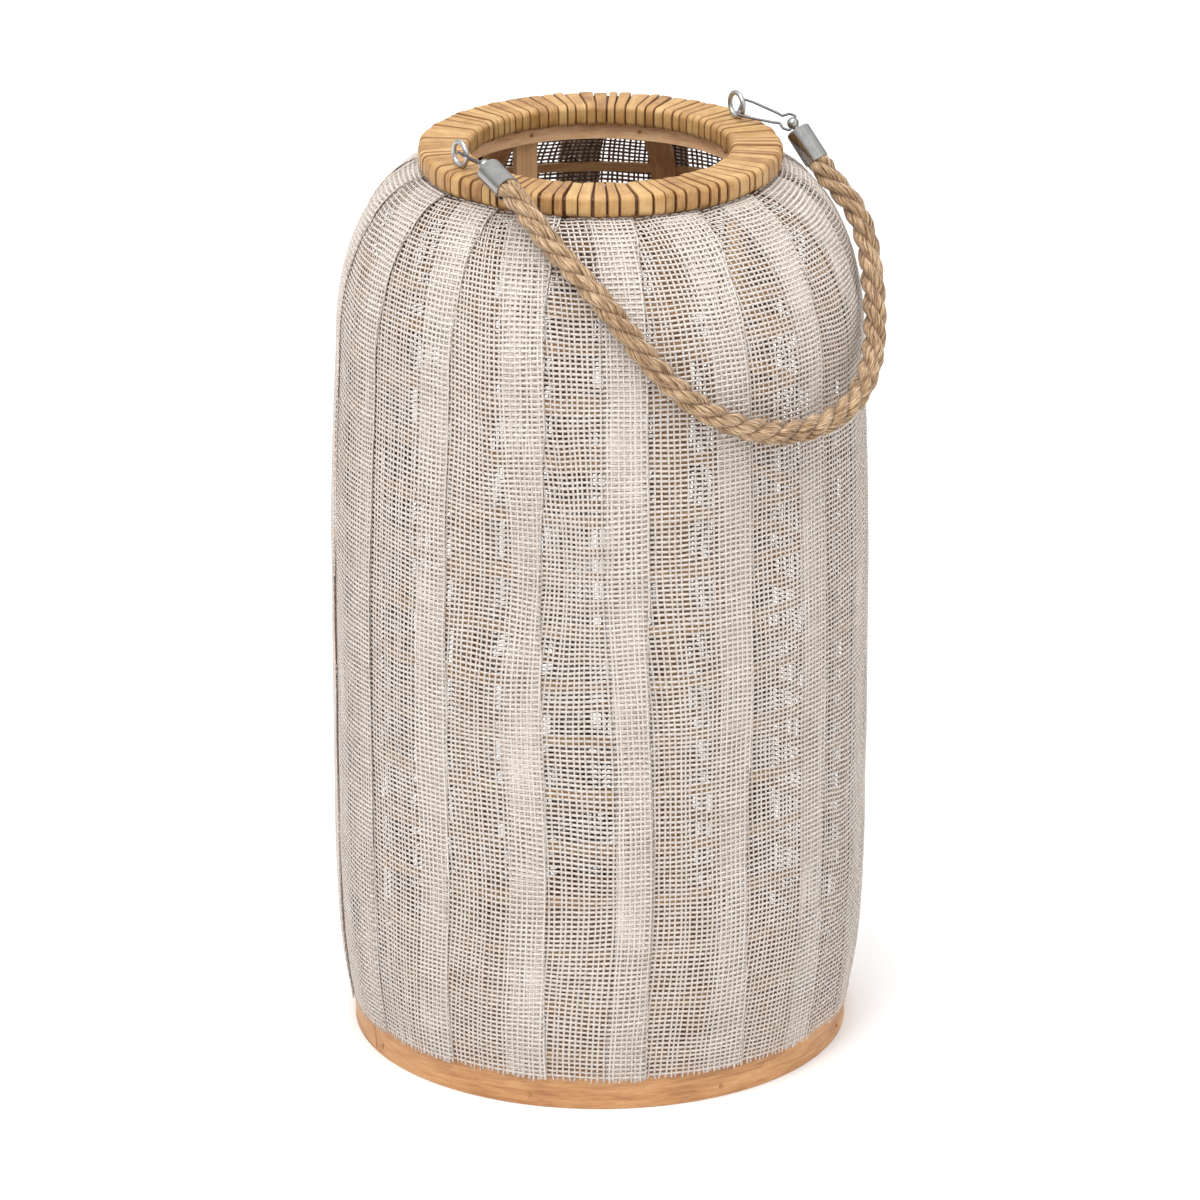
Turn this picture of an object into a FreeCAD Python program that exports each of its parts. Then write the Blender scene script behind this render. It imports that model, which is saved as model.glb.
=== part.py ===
import FreeCAD, Part
import math
import os
import Sketcher

# Hurricane candle lantern: a bamboo cage on a round floor, covered with pleated gauze, with a
# rattan-wrapped rim, a lift-out glass cylinder and a rope handle that swings on two screw eyes.
# Millimetres. Origin at the centre of the underside, +Z up, +X through the right-hand screw eye.
# The rope hangs towards -Y.

document = FreeCAD.newDocument("hurricane_candle_lantern")
sheet = document.addObject("Spreadsheet::Sheet", "dims")

# ---------------------------------------------------------------- driving dimensions

DIMENSIONS = {
    # whole lantern
    "overall_height": 400.0,
    "frame_turn": -3.0,
    # gauze cover, measured on its outside
    "belly_radius": 116.0,
    "belly_low": 165.0,
    "belly_high": 190.0,
    "foot_tuck": 9.35,
    "shoulder_height": 316.0,
    "shoulder_drop": 3.2,
    "shoulder_rise": 74.5,
    "neck_radius": 70.0,
    "cover_bottom": 14.5,
    "cover_thickness": 1.0,
    "cover_gap": 0.3,
    # rim
    "rim_outer_radius": 77.2,
    "rim_inner_radius": 55.8,
    "rim_thickness": 9.0,
    "rim_rounding": 2.4,
    "wrap_thickness": 1.2,
    # base
    "base_radius": 108.3,
    "band_thickness": 3.2,
    "band_height": 18.0,
    "band_joint_width": 0.5,
    "band_joint_lean": 1.8,
    "band_joint_turn": -7.0,
    "floor_thickness": 9.0,
    # cage
    "rib_width": 11.0,
    "rib_thickness": 3.0,
    "flare_height": 60.0,
    "post_width": 10.0,
    "post_thickness": 4.0,
    "hoop_height": 4.5,
    "hoop_thickness": 1.6,
    "first_hoop": 22.8,
    "hoop_pitch": 24.5,
    "last_hoop": 356.0,
    "top_hoop_inner": 61.5,
    "top_hoop_thickness": 4.0,
    "top_hoop_height": 7.5,
    "fit_gap": 0.1,
    "nail_radius": 0.7,
    "nail_head_radius": 0.9,
    "nail_head_thickness": 0.5,
    "nail_length": 12.0,
    # glass
    "glass_radius": 50.0,
    "glass_wall": 3.0,
    "glass_height": 240.0,
    # handle hardware
    "eye_position": 69.0,
    "eye_wire": 1.1,
    "eye_ring": 5.2,
    "shank_radius": 1.15,
    "shank_length": 7.5,
    "bail_wire": 0.55,
    "bail_half_width": 3.6,
    "bail_pinch": 1.7,
    "bail_clasp": 3.5,
    "bail_clasp_length": 3.2,
    "bail_pinch_end": 5.6,
    "bail_shoulder": 8.0,
    "bail_ring_length": 4.5,
    "bail_bend": 1.0,
    "ferrule_radius": 5.4,
    "ferrule_bore": 4.85,
    "ferrule_length": 16.0,
    "ferrule_cap": 2.5,
    "ferrule_chamfer": 0.6,
    "ball_radius": 2.6,
    "ball_offset": 3.3,
    "ball_hole": 0.65,
    "neck_wire": 1.5,
    "rope_radius": 4.7,
}

RIB_COUNT = 8
POST_COUNT = 4
HOOP_COUNT = 15
FULL_TURN = 360.0

d = DIMENSIONS
row = 0
for alias, value in DIMENSIONS.items():
    row += 1
    sheet.set("A%d" % row, alias.replace("_", " "))
    sheet.set("B%d" % row, str(value))
    sheet.setAlias("B%d" % row, alias)


def add_dimension(alias, value):
    """Writes one more cell, for a size that the loops below work out."""
    global row
    row += 1
    sheet.set("A%d" % row, alias.replace("_", " "))
    sheet.set("B%d" % row, "%.3f" % value)
    sheet.setAlias("B%d" % row, alias)
    return "dims." + alias


rim_bottom = d["overall_height"] - d["rim_thickness"]
band_inner = d["base_radius"] - d["band_thickness"]
floor_top = d["floor_thickness"]
top_hoop_outer = d["top_hoop_inner"] + d["top_hoop_thickness"]
cover_top = d["shoulder_height"] + d["shoulder_rise"]
eye_height = d["overall_height"] + d["eye_ring"] + d["eye_wire"]
bar_reach = d["eye_ring"] - d["eye_wire"] - d["bail_wire"] - d["fit_gap"]


def cover_radius(height):
    """Outside radius of the gauze cover at one height: foot, belly and elliptical shoulder."""
    if height >= d["shoulder_height"]:
        rise = min(1.0, (height - d["shoulder_height"]) / d["shoulder_rise"])
        reach = d["belly_radius"] - d["shoulder_drop"] - d["neck_radius"]
        return d["neck_radius"] + reach * math.sqrt(1.0 - rise * rise)
    if height >= d["belly_high"]:
        rise = (height - d["belly_high"]) / (d["shoulder_height"] - d["belly_high"])
        return d["belly_radius"] - d["shoulder_drop"] * rise * rise
    sink = max(0.0, (d["belly_low"] - height) / d["belly_low"])
    return d["belly_radius"] - d["foot_tuck"] * sink ** 5


def cover_curve(inset, low, high, steps_low, steps_shoulder):
    """Points of the cover's outline moved inwards by inset, as (radius, height) pairs."""
    heights = []
    for step in range(steps_low):
        heights.append(low + (d["shoulder_height"] - low) * step / steps_low)
    turn_end = math.asin(min(1.0, (high - d["shoulder_height"]) / d["shoulder_rise"]))
    for step in range(steps_shoulder + 1):
        turn = turn_end * step / steps_shoulder
        heights.append(d["shoulder_height"] + d["shoulder_rise"] * math.sin(turn))
    points = []
    small = 0.01
    for height in heights:
        if height > cover_top - small:
            points.append((d["neck_radius"], cover_top - inset))
            continue
        slope = (cover_radius(height + small / 2) - cover_radius(height - small / 2)) / small
        length = math.hypot(1.0, slope)
        points.append((cover_radius(height) - inset / length, height + inset * slope / length))
    return points


# ---------------------------------------------------------------- building helpers

def new_body(label):
    body = document.addObject("PartDesign::Body", label)
    body.Label = label
    return body


def new_sketch(body, name, role, placement=None):
    """A sketch on one of the body's own origin planes."""
    sketch = body.newObject("Sketcher::SketchObject", name)
    plane = [item for item in body.Origin.OriginFeatures if item.Role == role][0]
    sketch.AttachmentSupport = [(plane, "")]
    sketch.MapMode = "FlatFace"
    if placement is not None:
        sketch.AttachmentOffset = placement
    return sketch


def bind(sketch, constraint, name, expression):
    """Adds one constraint and ties it to the spreadsheet."""
    index = sketch.addConstraint(constraint)
    sketch.renameConstraint(index, name)
    sketch.setExpression("Constraints." + name, expression)


def join_ends(sketch, geometry):
    """Joins each line or curve to the next one, and the last to the first."""
    for place, index in enumerate(geometry):
        following = geometry[(place + 1) % len(geometry)]
        sketch.addConstraint(Sketcher.Constraint("Coincident", index, 2, following, 1))


def add_polygon(sketch, points):
    geometry = []
    for place, point in enumerate(points):
        following = points[(place + 1) % len(points)]
        start = FreeCAD.Vector(point[0], point[1], 0)
        end = FreeCAD.Vector(following[0], following[1], 0)
        geometry.append(sketch.addGeometry(Part.LineSegment(start, end), False))
    join_ends(sketch, geometry)
    return geometry


def add_curve(sketch, points):
    """A smooth curve through the points."""
    curve = Part.BSplineCurve()
    curve.interpolate([FreeCAD.Vector(point[0], point[1], 0) for point in points])
    return sketch.addGeometry(curve, False)


def add_circle(sketch, centre, radius, name, expression):
    circle = Part.Circle(FreeCAD.Vector(centre[0], centre[1], 0), FreeCAD.Vector(0, 0, 1), radius)
    index = sketch.addGeometry(circle, False)
    bind(sketch, Sketcher.Constraint("Radius", index, radius), name, expression)
    return index


def pin_point(sketch, geometry, end, across, along, name, expressions):
    """Ties one end point of a line to two expressions: its distance across and along."""
    across_limit = Sketcher.Constraint("DistanceX", -1, 1, geometry, end, across)
    along_limit = Sketcher.Constraint("DistanceY", -1, 1, geometry, end, along)
    bind(sketch, across_limit, name + "_across", expressions[0])
    bind(sketch, along_limit, name + "_along", expressions[1])


def revolve(body, sketch):
    feature = body.newObject("PartDesign::Revolution", body.Name + "_turned")
    feature.Profile = sketch
    feature.ReferenceAxis = (sketch, ["V_Axis"])
    feature.Angle = FULL_TURN
    sketch.Visibility = False
    return feature


def pad(body, sketch, expression, both_sides=False):
    feature = body.newObject("PartDesign::Pad", body.Name + "_pad")
    feature.Profile = sketch
    feature.setExpression("Length", expression)
    feature.Midplane = both_sides
    sketch.Visibility = False
    return feature


def pocket_through(body, sketch, name):
    feature = body.newObject("PartDesign::Pocket", name)
    feature.Profile = sketch
    feature.Type = "ThroughAll"
    feature.Midplane = True
    sketch.Visibility = False
    return feature


def turn_about_z(item, angle):
    spin = FreeCAD.Rotation(FreeCAD.Vector(0, 0, 1), angle)
    item.Placement = FreeCAD.Placement(FreeCAD.Vector(0, 0, 0), spin)


def ring_body(label, outer, inner, height, base):
    """An upright ring: each argument is (value, expression)."""
    body = new_body(label)
    sketch = new_sketch(body, label + "_section", "XY_Plane")
    add_circle(sketch, (0, 0), outer[0], "outer", outer[1])
    add_circle(sketch, (0, 0), inner[0], "inner", inner[1])
    pad(body, sketch, height)
    body.setExpression("Placement.Base.z", base)
    return body


# ---------------------------------------------------------------- base

def base_floor():
    """Plywood disc, notched round its edge for the feet of the ribs."""
    body = new_body("base_floor")
    sketch = new_sketch(body, "base_floor_outline", "XY_Plane")
    add_circle(sketch, (0, 0), band_inner, "edge", "dims.base_radius - dims.band_thickness")
    pad(body, sketch, "dims.floor_thickness")
    document.recompute()
    notch = new_sketch(body, "rib_notch", "XY_Plane")
    depth = rib_foot_inner() - d["fit_gap"]
    half = d["rib_width"] / 2 + d["fit_gap"]
    edge = d["base_radius"]
    lines = add_polygon(notch, [(depth, -half), (edge, -half), (edge, half), (depth, half)])
    for line, direction in zip(lines, ("Horizontal", "Vertical", "Horizontal", "Vertical")):
        notch.addConstraint(Sketcher.Constraint(direction, line))
    pin_point(notch, lines[0], 2, edge, -half, "corner",
              ("dims.base_radius", "-dims.rib_width / 2 - dims.fit_gap"))
    cut = pocket_through(body, notch, "first_notch")
    document.recompute()
    pattern = body.newObject("PartDesign::PolarPattern", "rib_notches")
    pattern.Originals = [cut]
    pattern.Axis = (notch, ["N_Axis"])
    pattern.Angle = FULL_TURN
    pattern.Occurrences = RIB_COUNT
    body.Tip = pattern
    turn_about_z(body, d["frame_turn"])
    return body


def base_band():
    """Bent strip round the floor, with the slanting joint where its two ends meet."""
    body = ring_body("base_band",
                     (d["base_radius"], "dims.base_radius"),
                     (band_inner, "dims.base_radius - dims.band_thickness"),
                     "dims.band_height", "0 * dims.band_height")
    document.recompute()
    sketch = new_sketch(body, "end_joint", "YZ_Plane")
    lean = d["band_joint_lean"]
    half = d["band_joint_width"] / 2
    margin = 1.0
    low = -margin
    high = d["band_height"] + margin
    add_polygon(sketch, [(-lean - half, low), (-lean + half, low),
                         (lean + half, high), (lean - half, high)])
    joint = body.newObject("PartDesign::Pocket", "end_joint_cut")
    joint.Profile = sketch
    joint.Type = "ThroughAll"
    turn_about_z(body, d["band_joint_turn"])
    document.recompute()
    return body


def radial_nails(label, surface_radius, direction, height, angles, into):
    """Nails set round a circle, as one node of separate solids. Direction 1 points outwards."""
    nails = []
    point_radius = 0.05
    for angle in angles:
        shank = Part.makeCylinder(d["nail_radius"], into)
        tip_length = 2 * d["nail_radius"]
        tip = Part.makeCone(d["nail_radius"], point_radius, tip_length, FreeCAD.Vector(0, 0, into))
        head = Part.makeCylinder(d["nail_head_radius"], d["nail_head_thickness"])
        head.translate(FreeCAD.Vector(0, 0, -d["nail_head_thickness"]))
        nail = shank.fuse([tip, head]).removeSplitter()
        nail.rotate(FreeCAD.Vector(0, 0, 0), FreeCAD.Vector(0, 1, 0), 90 * direction)
        nail.translate(FreeCAD.Vector(surface_radius, 0, height))
        nail.rotate(FreeCAD.Vector(0, 0, 0), FreeCAD.Vector(0, 0, 1), angle)
        nails.append(nail)
    feature = document.addObject("Part::Feature", label)
    feature.Shape = Part.makeCompound(nails)
    feature.Label = label
    return feature


# ---------------------------------------------------------------- cage

def rib_angles():
    return [d["frame_turn"] + FULL_TURN * place / RIB_COUNT for place in range(RIB_COUNT)]


def rib_foot_outer():
    """The rib's flat outer face stays inside the band's round inner face."""
    return math.sqrt(band_inner ** 2 - (d["rib_width"] / 2) ** 2) - d["fit_gap"]


def rib_foot_inner():
    return rib_foot_outer() - d["rib_thickness"]


def rib_outline(inset, foot_radius, end_radius):
    """One long edge of a rib: upright at the foot, then following the cover inwards.

    The point before the last one keeps the curve level where it meets the hoop or the post."""
    points = [(foot_radius, 0.0), (foot_radius, d["band_height"] / 2)]
    flare_steps = 6
    level_reach = 3.0
    level_drop = 0.02
    curve_steps = 9
    for step in range(flare_steps):
        share = step / flare_steps
        height = d["band_height"] + (d["flare_height"] - d["band_height"]) * share
        bowed = inside_cover(height, inset)
        points.append((foot_radius + (bowed - foot_radius) * share * share * (3 - 2 * share), height))
    points += cover_curve(inset, d["flare_height"], cover_top, curve_steps, curve_steps)
    last = points[-1]
    points[-1] = (end_radius, last[1])
    points.insert(-1, ((last[0] + end_radius) / 2 + level_reach, last[1] - level_drop))
    return points


def rib(number, angle):
    """Bent bamboo slat, from the floor up over the shoulder to the top hoop or to a post."""
    label = "rib_%d" % number
    body = new_body(label)
    sketch = new_sketch(body, label + "_side", "XZ_Plane")
    behind_post = (number - 1) % (RIB_COUNT // POST_COUNT) == 0
    end_radius = top_hoop_outer + d["fit_gap"]
    if behind_post:
        end_radius += d["post_thickness"]
    bow = d["cover_thickness"] + d["cover_gap"] + d["hoop_thickness"] + 4 * d["fit_gap"]
    outer = rib_outline(bow, rib_foot_outer(), end_radius)
    inner = rib_outline(bow + d["rib_thickness"], rib_foot_inner(), end_radius)
    outer_curve = add_curve(sketch, outer)
    end_line = add_line(sketch, outer[-1], inner[-1])
    inner_curve = add_curve(sketch, inner[::-1])
    foot_line = add_line(sketch, inner[0], outer[0])
    join_ends(sketch, [outer_curve, end_line, inner_curve, foot_line])
    pad(body, sketch, "dims.rib_width", True)
    turn_about_z(body, angle)
    return body


def add_line(sketch, start, end):
    first = FreeCAD.Vector(start[0], start[1], 0)
    second = FreeCAD.Vector(end[0], end[1], 0)
    return sketch.addGeometry(Part.LineSegment(first, second), False)


def post(number, angle):
    """Straight bamboo post, from the floor to the underside of the rim."""
    label = "post_%d" % number
    item = document.addObject("Part::Box", label)
    item.Label = label
    item.setExpression("Length", "dims.post_thickness")
    item.setExpression("Width", "dims.post_width")
    item.setExpression("Height", "dims.overall_height - dims.rim_thickness - dims.floor_thickness")
    half = d["post_width"] / 2
    inner_face = top_hoop_outer + d["fit_gap"]
    spin = FreeCAD.Rotation(FreeCAD.Vector(0, 0, 1), angle)
    corner = spin.multVec(FreeCAD.Vector(inner_face, -half, 0))
    corner.z = floor_top
    item.Placement = FreeCAD.Placement(corner, spin)
    return item


def hoop_heights():
    heights = [d["first_hoop"] + d["hoop_pitch"] * place for place in range(HOOP_COUNT - 1)]
    heights.append(d["last_hoop"])
    return heights


def hoop(number, bottom):
    """Thin bamboo strip bent into a hoop between the ribs and the cover, leaning as they do."""
    label = "hoop_%02d" % number
    body = new_body(label)
    sketch = new_sketch(body, label + "_section", "XZ_Plane")
    top = bottom + d["hoop_height"]
    inset = d["cover_thickness"] + d["cover_gap"]
    low_radius = inside_cover(bottom, inset)
    high_radius = inside_cover(top, inset)
    low_cell = add_dimension(label + "_low_radius", low_radius)
    high_cell = add_dimension(label + "_high_radius", high_radius)
    slope = math.hypot(1.0, (high_radius - low_radius) / d["hoop_height"])
    width = d["hoop_thickness"] * slope
    width_cell = add_dimension(label + "_width", width)
    corners = [(low_radius, 0), (high_radius, d["hoop_height"]),
               (high_radius - width, d["hoop_height"]), (low_radius - width, 0)]
    lines = add_polygon(sketch, corners)
    names = ("low_outer", "high_outer", "high_inner", "low_inner")
    radii = (low_cell, high_cell, high_cell + " - " + width_cell, low_cell + " - " + width_cell)
    rises = ("0 * dims.hoop_height", "dims.hoop_height", "dims.hoop_height", "0 * dims.hoop_height")
    for line, corner, name, radius, rise in zip(lines, corners, names, radii, rises):
        pin_point(sketch, line, 1, corner[0], corner[1], name, (radius, rise))
    revolve(body, sketch)
    body.Placement = FreeCAD.Placement(FreeCAD.Vector(0, 0, bottom), FreeCAD.Rotation())
    return body


def inside_cover(height, inset):
    """Radius of the surface that lies inset inside the cover, at one height."""
    points = cover_curve(inset, 10.0, cover_top - 0.5, 40, 60)
    for lower, upper in zip(points, points[1:]):
        if lower[1] <= height <= upper[1]:
            share = (height - lower[1]) / (upper[1] - lower[1])
            return lower[0] + (upper[0] - lower[0]) * share
    return cover_radius(height) - inset


# ---------------------------------------------------------------- rim

def rounded_section(sketch, left, right, low, high, rounding, prefix):
    """A rectangle with rounded corners, its four sides tied to the given expressions."""
    quarter = math.pi / 2
    near, far = left[0] + rounding, right[0] - rounding
    bottom, top = low[0] + rounding, high[0] - rounding
    corners = [(near, bottom, 2), (far, bottom, 3), (far, top, 0), (near, top, 1)]
    arcs = []
    for across, along, place in corners:
        centre = FreeCAD.Vector(across, along, 0)
        circle = Part.Circle(centre, FreeCAD.Vector(0, 0, 1), rounding)
        arc = Part.ArcOfCircle(circle, place * quarter, (place + 1) * quarter)
        arcs.append(sketch.addGeometry(arc, False))
    ends = [((near, low[0]), (far, low[0])), ((right[0], bottom), (right[0], top)),
            ((far, high[0]), (near, high[0])), ((left[0], top), (left[0], bottom))]
    lines = [add_line(sketch, start, end) for start, end in ends]
    for place in range(4):
        following = arcs[(place + 1) % 4]
        sketch.addConstraint(Sketcher.Constraint("Tangent", arcs[place], 2, lines[place], 1))
        sketch.addConstraint(Sketcher.Constraint("Tangent", lines[place], 2, following, 1))
    for line, direction in zip(lines, ("Horizontal", "Vertical", "Horizontal", "Vertical")):
        sketch.addConstraint(Sketcher.Constraint(direction, line))
    for arc in arcs[1:]:
        sketch.addConstraint(Sketcher.Constraint("Equal", arcs[0], arc))
    bind(sketch, Sketcher.Constraint("Radius", arcs[0], rounding), prefix + "_corner",
         "dims.rim_rounding" if prefix == "outer" else "dims.rim_rounding - dims.wrap_thickness")
    sides = ((lines[3], "DistanceX", left, "_left"), (lines[1], "DistanceX", right, "_right"),
             (lines[0], "DistanceY", low, "_low"), (lines[2], "DistanceY", high, "_high"))
    for line, direction, limit, name in sides:
        side = Sketcher.Constraint(direction, -1, 1, line, 1, limit[0])
        bind(sketch, side, prefix + name, limit[1])


def eye_holes(body):
    """The two holes that the screw eyes turn into."""
    document.recompute()
    sketch = new_sketch(body, body.Name + "_eye_holes", "XY_Plane")
    for side, name in ((1, "right"), (-1, "left")):
        add_circle(sketch, (side * d["eye_position"], 0), d["shank_radius"], name, "dims.shank_radius")
    pocket_through(body, sketch, body.Name + "_holes")
    document.recompute()


def core_section(sketch, prefix):
    wrap = d["wrap_thickness"]
    rounded_section(sketch,
                    (d["rim_inner_radius"] + wrap, "dims.rim_inner_radius + dims.wrap_thickness"),
                    (d["rim_outer_radius"] - wrap, "dims.rim_outer_radius - dims.wrap_thickness"),
                    (wrap, "dims.wrap_thickness"),
                    (d["rim_thickness"] - wrap, "dims.rim_thickness - dims.wrap_thickness"),
                    d["rim_rounding"] - wrap, prefix)


def rim_core():
    """Bent wooden ring inside the wrapping."""
    body = new_body("rim_core")
    sketch = new_sketch(body, "rim_core_section", "XZ_Plane")
    core_section(sketch, "core")
    revolve(body, sketch)
    body.setExpression("Placement.Base.z", "dims.overall_height - dims.rim_thickness")
    eye_holes(body)
    return body


def rim_wrap():
    """Rattan peel wound round the core: one closed skin that fits the core all round."""
    body = new_body("rim_wrap")
    sketch = new_sketch(body, "rim_wrap_section", "XZ_Plane")
    rounded_section(sketch,
                    (d["rim_inner_radius"], "dims.rim_inner_radius"),
                    (d["rim_outer_radius"], "dims.rim_outer_radius"),
                    (0.0, "0 * dims.rim_thickness"),
                    (d["rim_thickness"], "dims.rim_thickness"),
                    d["rim_rounding"], "outer")
    core_section(sketch, "inner")
    revolve(body, sketch)
    body.setExpression("Placement.Base.z", "dims.overall_height - dims.rim_thickness")
    eye_holes(body)
    return body


# ---------------------------------------------------------------- gauze and glass

def gauze_cover():
    """Closed skin in the place of the gauze, from the base band up and in under the rim."""
    body = new_body("gauze_cover")
    sketch = new_sketch(body, "gauze_cover_section", "XZ_Plane")
    outer = cover_curve(0.0, d["cover_bottom"], cover_top, 10, 14)
    inner = cover_curve(d["cover_thickness"], d["cover_bottom"], cover_top, 10, 14)
    inner[0] = (inner[0][0], outer[0][1])
    outer_curve = add_curve(sketch, outer)
    neck_line = add_line(sketch, outer[-1], inner[-1])
    inner_curve = add_curve(sketch, inner[::-1])
    foot_line = add_line(sketch, inner[0], outer[0])
    join_ends(sketch, [outer_curve, neck_line, inner_curve, foot_line])
    revolve(body, sketch)
    return body


def glass_cylinder():
    """Open glass tube that shields the flame, standing loose on the floor."""
    body = ring_body("glass_cylinder",
                     (d["glass_radius"], "dims.glass_radius"),
                     (d["glass_radius"] - d["glass_wall"], "dims.glass_radius - dims.glass_wall"),
                     "dims.glass_height", "dims.floor_thickness")
    document.recompute()
    pad_feature = body.Tip
    edges = []
    for number, edge in enumerate(pad_feature.Shape.Edges):
        if edge.BoundBox.ZLength < 0.001:
            edges.append("Edge%d" % (number + 1))
    fillet = body.newObject("PartDesign::Fillet", "fire_polish")
    fillet.Base = (pad_feature, edges)
    fillet.Radius = d["glass_wall"] * 0.4
    return body


# ---------------------------------------------------------------- handle hardware

def screw_eye(label, side):
    """Wire ring on a short shank, turned down into the rim."""
    ring = document.addObject("Part::Torus", label + "_ring")
    ring.setExpression("Radius1", "dims.eye_ring")
    ring.setExpression("Radius2", "dims.eye_wire")
    centre = FreeCAD.Vector(side * d["eye_position"], 0, eye_height)
    ring.Placement = FreeCAD.Placement(centre, FreeCAD.Rotation(FreeCAD.Vector(0, 1, 0), 90))
    shank = document.addObject("Part::Cylinder", label + "_shank")
    shank.setExpression("Radius", "dims.shank_radius - dims.fit_gap / 2")
    shank.setExpression("Height", "dims.shank_length + dims.eye_wire")
    foot = FreeCAD.Vector(side * d["eye_position"], 0, d["overall_height"] - d["shank_length"])
    shank.Placement = FreeCAD.Placement(foot, FreeCAD.Rotation())
    whole = document.addObject("Part::Fuse", label)
    whole.Base = ring
    whole.Tool = shank
    whole.Label = label
    return whole


def frame_placement(origin, first, second):
    """A placement with its local X along first, and its local Y as near to second as it can be."""
    first = FreeCAD.Vector(first).normalize()
    second = (second - first * first.dot(second)).normalize()
    third = first.cross(second)
    matrix = FreeCAD.Matrix(first.x, second.x, third.x, origin.x,
                            first.y, second.y, third.y, origin.y,
                            first.z, second.z, third.z, origin.z,
                            0, 0, 0, 1)
    return FreeCAD.Placement(matrix)


def add_bent_wire(sketch, corners, bend):
    """Straight runs joined by tangent bends, from the first corner to the last."""
    start = FreeCAD.Vector(corners[0][0], corners[0][1], 0)
    pieces = []
    for place in range(1, len(corners) - 1):
        before = FreeCAD.Vector(corners[place - 1][0], corners[place - 1][1], 0)
        corner = FreeCAD.Vector(corners[place][0], corners[place][1], 0)
        after = FreeCAD.Vector(corners[place + 1][0], corners[place + 1][1], 0)
        back = (before - corner).normalize()
        ahead = (after - corner).normalize()
        half = math.acos(max(-1.0, min(1.0, back.dot(ahead)))) / 2
        reach = bend / math.tan(half)
        first = corner + back * reach
        last = corner + ahead * reach
        middle_line = (back + ahead).normalize()
        middle = corner + middle_line * (bend / math.sin(half) - bend)
        pieces.append(Part.LineSegment(start, first))
        pieces.append(Part.Arc(first, middle, last))
        start = last
    pieces.append(Part.LineSegment(start, FreeCAD.Vector(corners[-1][0], corners[-1][1], 0)))
    geometry = [sketch.addGeometry(piece, False) for piece in pieces]
    return geometry


def bail(label, bar, ball, lean):
    """Wire loop from a screw eye to the ball of a ferrule, its two ends turned into the ball."""
    run = (ball - bar).Length
    body = new_body(label)
    path = new_sketch(body, label + "_path", "XY_Plane")
    wide = d["bail_half_width"]
    pinch = d["bail_pinch"]
    clasp = d["bail_clasp"]
    hook_end = d["ball_radius"] * 0.45
    shoulder = pinch + d["bail_wire"]
    one_side = [(hook_end, run), (clasp, run), (clasp, run - d["bail_clasp_length"]),
                (pinch, run - d["bail_pinch_end"]), (shoulder, run - d["bail_shoulder"]),
                (wide, d["bail_ring_length"]), (wide, 0)]
    other_side = [(-across, along) for across, along in one_side[::-1]]
    add_bent_wire(path, one_side + other_side, d["bail_bend"])
    offset = FreeCAD.Placement(FreeCAD.Vector(run, 0, hook_end), FreeCAD.Rotation())
    section = new_sketch(body, label + "_section", "YZ_Plane", offset)
    add_circle(section, (0, 0), d["bail_wire"], "wire", "dims.bail_wire")
    document.recompute()
    pipe = body.newObject("PartDesign::AdditivePipe", label + "_wire")
    pipe.Profile = section
    pipe.Spine = path
    path.Visibility = False
    section.Visibility = False
    body.Placement = frame_placement(bar, lean, ball - bar)
    return body


def ferrule(label, start, mouth, lean):
    """Steel cup crimped on the rope's end, with a ball that the bail clasps from both sides."""
    body = new_body(label)
    sketch = new_sketch(body, label + "_section", "XZ_Plane")
    radius = d["ferrule_radius"]
    bore = d["ferrule_bore"]
    length = d["ferrule_length"]
    cap = d["ferrule_cap"]
    chamfer = d["ferrule_chamfer"]
    ball = d["ball_radius"]
    neck = d["neck_wire"]
    ball_centre = -d["ball_offset"]
    neck_meets = ball_centre + math.sqrt(ball ** 2 - neck ** 2)
    origin = FreeCAD.Vector(0, ball_centre, 0)
    circle = Part.Circle(origin, FreeCAD.Vector(0, 0, 1), ball)
    low_turn = -math.pi / 2
    high_turn = math.acos(neck / ball)
    arc = sketch.addGeometry(Part.ArcOfCircle(circle, low_turn, high_turn), False)
    outline = [(neck, neck_meets), (neck, 0), (radius - chamfer, 0), (radius, chamfer),
               (radius, length), (bore, length), (bore, cap), (0, cap), (0, ball_centre - ball)]
    lines = [add_line(sketch, first, second) for first, second in zip(outline, outline[1:])]
    join_ends(sketch, [arc] + lines)
    outside = Sketcher.Constraint("DistanceX", -1, 1, lines[3], 1, radius)
    bind(sketch, outside, "radius", "dims.ferrule_radius")
    inside_wall = Sketcher.Constraint("DistanceX", -1, 1, lines[5], 1, bore)
    bind(sketch, inside_wall, "bore", "dims.ferrule_bore")
    revolve(body, sketch)
    document.recompute()
    along = (mouth - start).normalize()
    slant = math.degrees(math.asin(along.dot(lean) / lean.Length))
    tilt = FreeCAD.Rotation(FreeCAD.Vector(1, 0, 0), slant)
    offset = FreeCAD.Placement(FreeCAD.Vector(0, ball_centre, 0), tilt)
    hole = new_sketch(body, label + "_cross_hole", "XZ_Plane", offset)
    add_circle(hole, (0, 0), d["ball_hole"], "hole", "dims.ball_hole")
    pocket_through(body, hole, label + "_hole")
    body.Placement = frame_placement(start, lean.cross(along), along.cross(lean.cross(along)))
    return body


def rope(points):
    """Rope along a smooth line from the bottom of one ferrule to the bottom of the other."""
    curve = Part.BSplineCurve()
    curve.interpolate(points)
    spine = Part.Wire([curve.toShape()])
    start_direction = curve.tangent(curve.FirstParameter)[0]
    circle = Part.Circle(points[0], start_direction, d["rope_radius"])
    profile = Part.Wire([circle.toShape()])
    feature = document.addObject("Part::Feature", "rope")
    feature.Shape = spine.makePipeShell([profile], True, False)
    feature.Label = "rope"
    return feature


# ---------------------------------------------------------------- build

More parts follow.
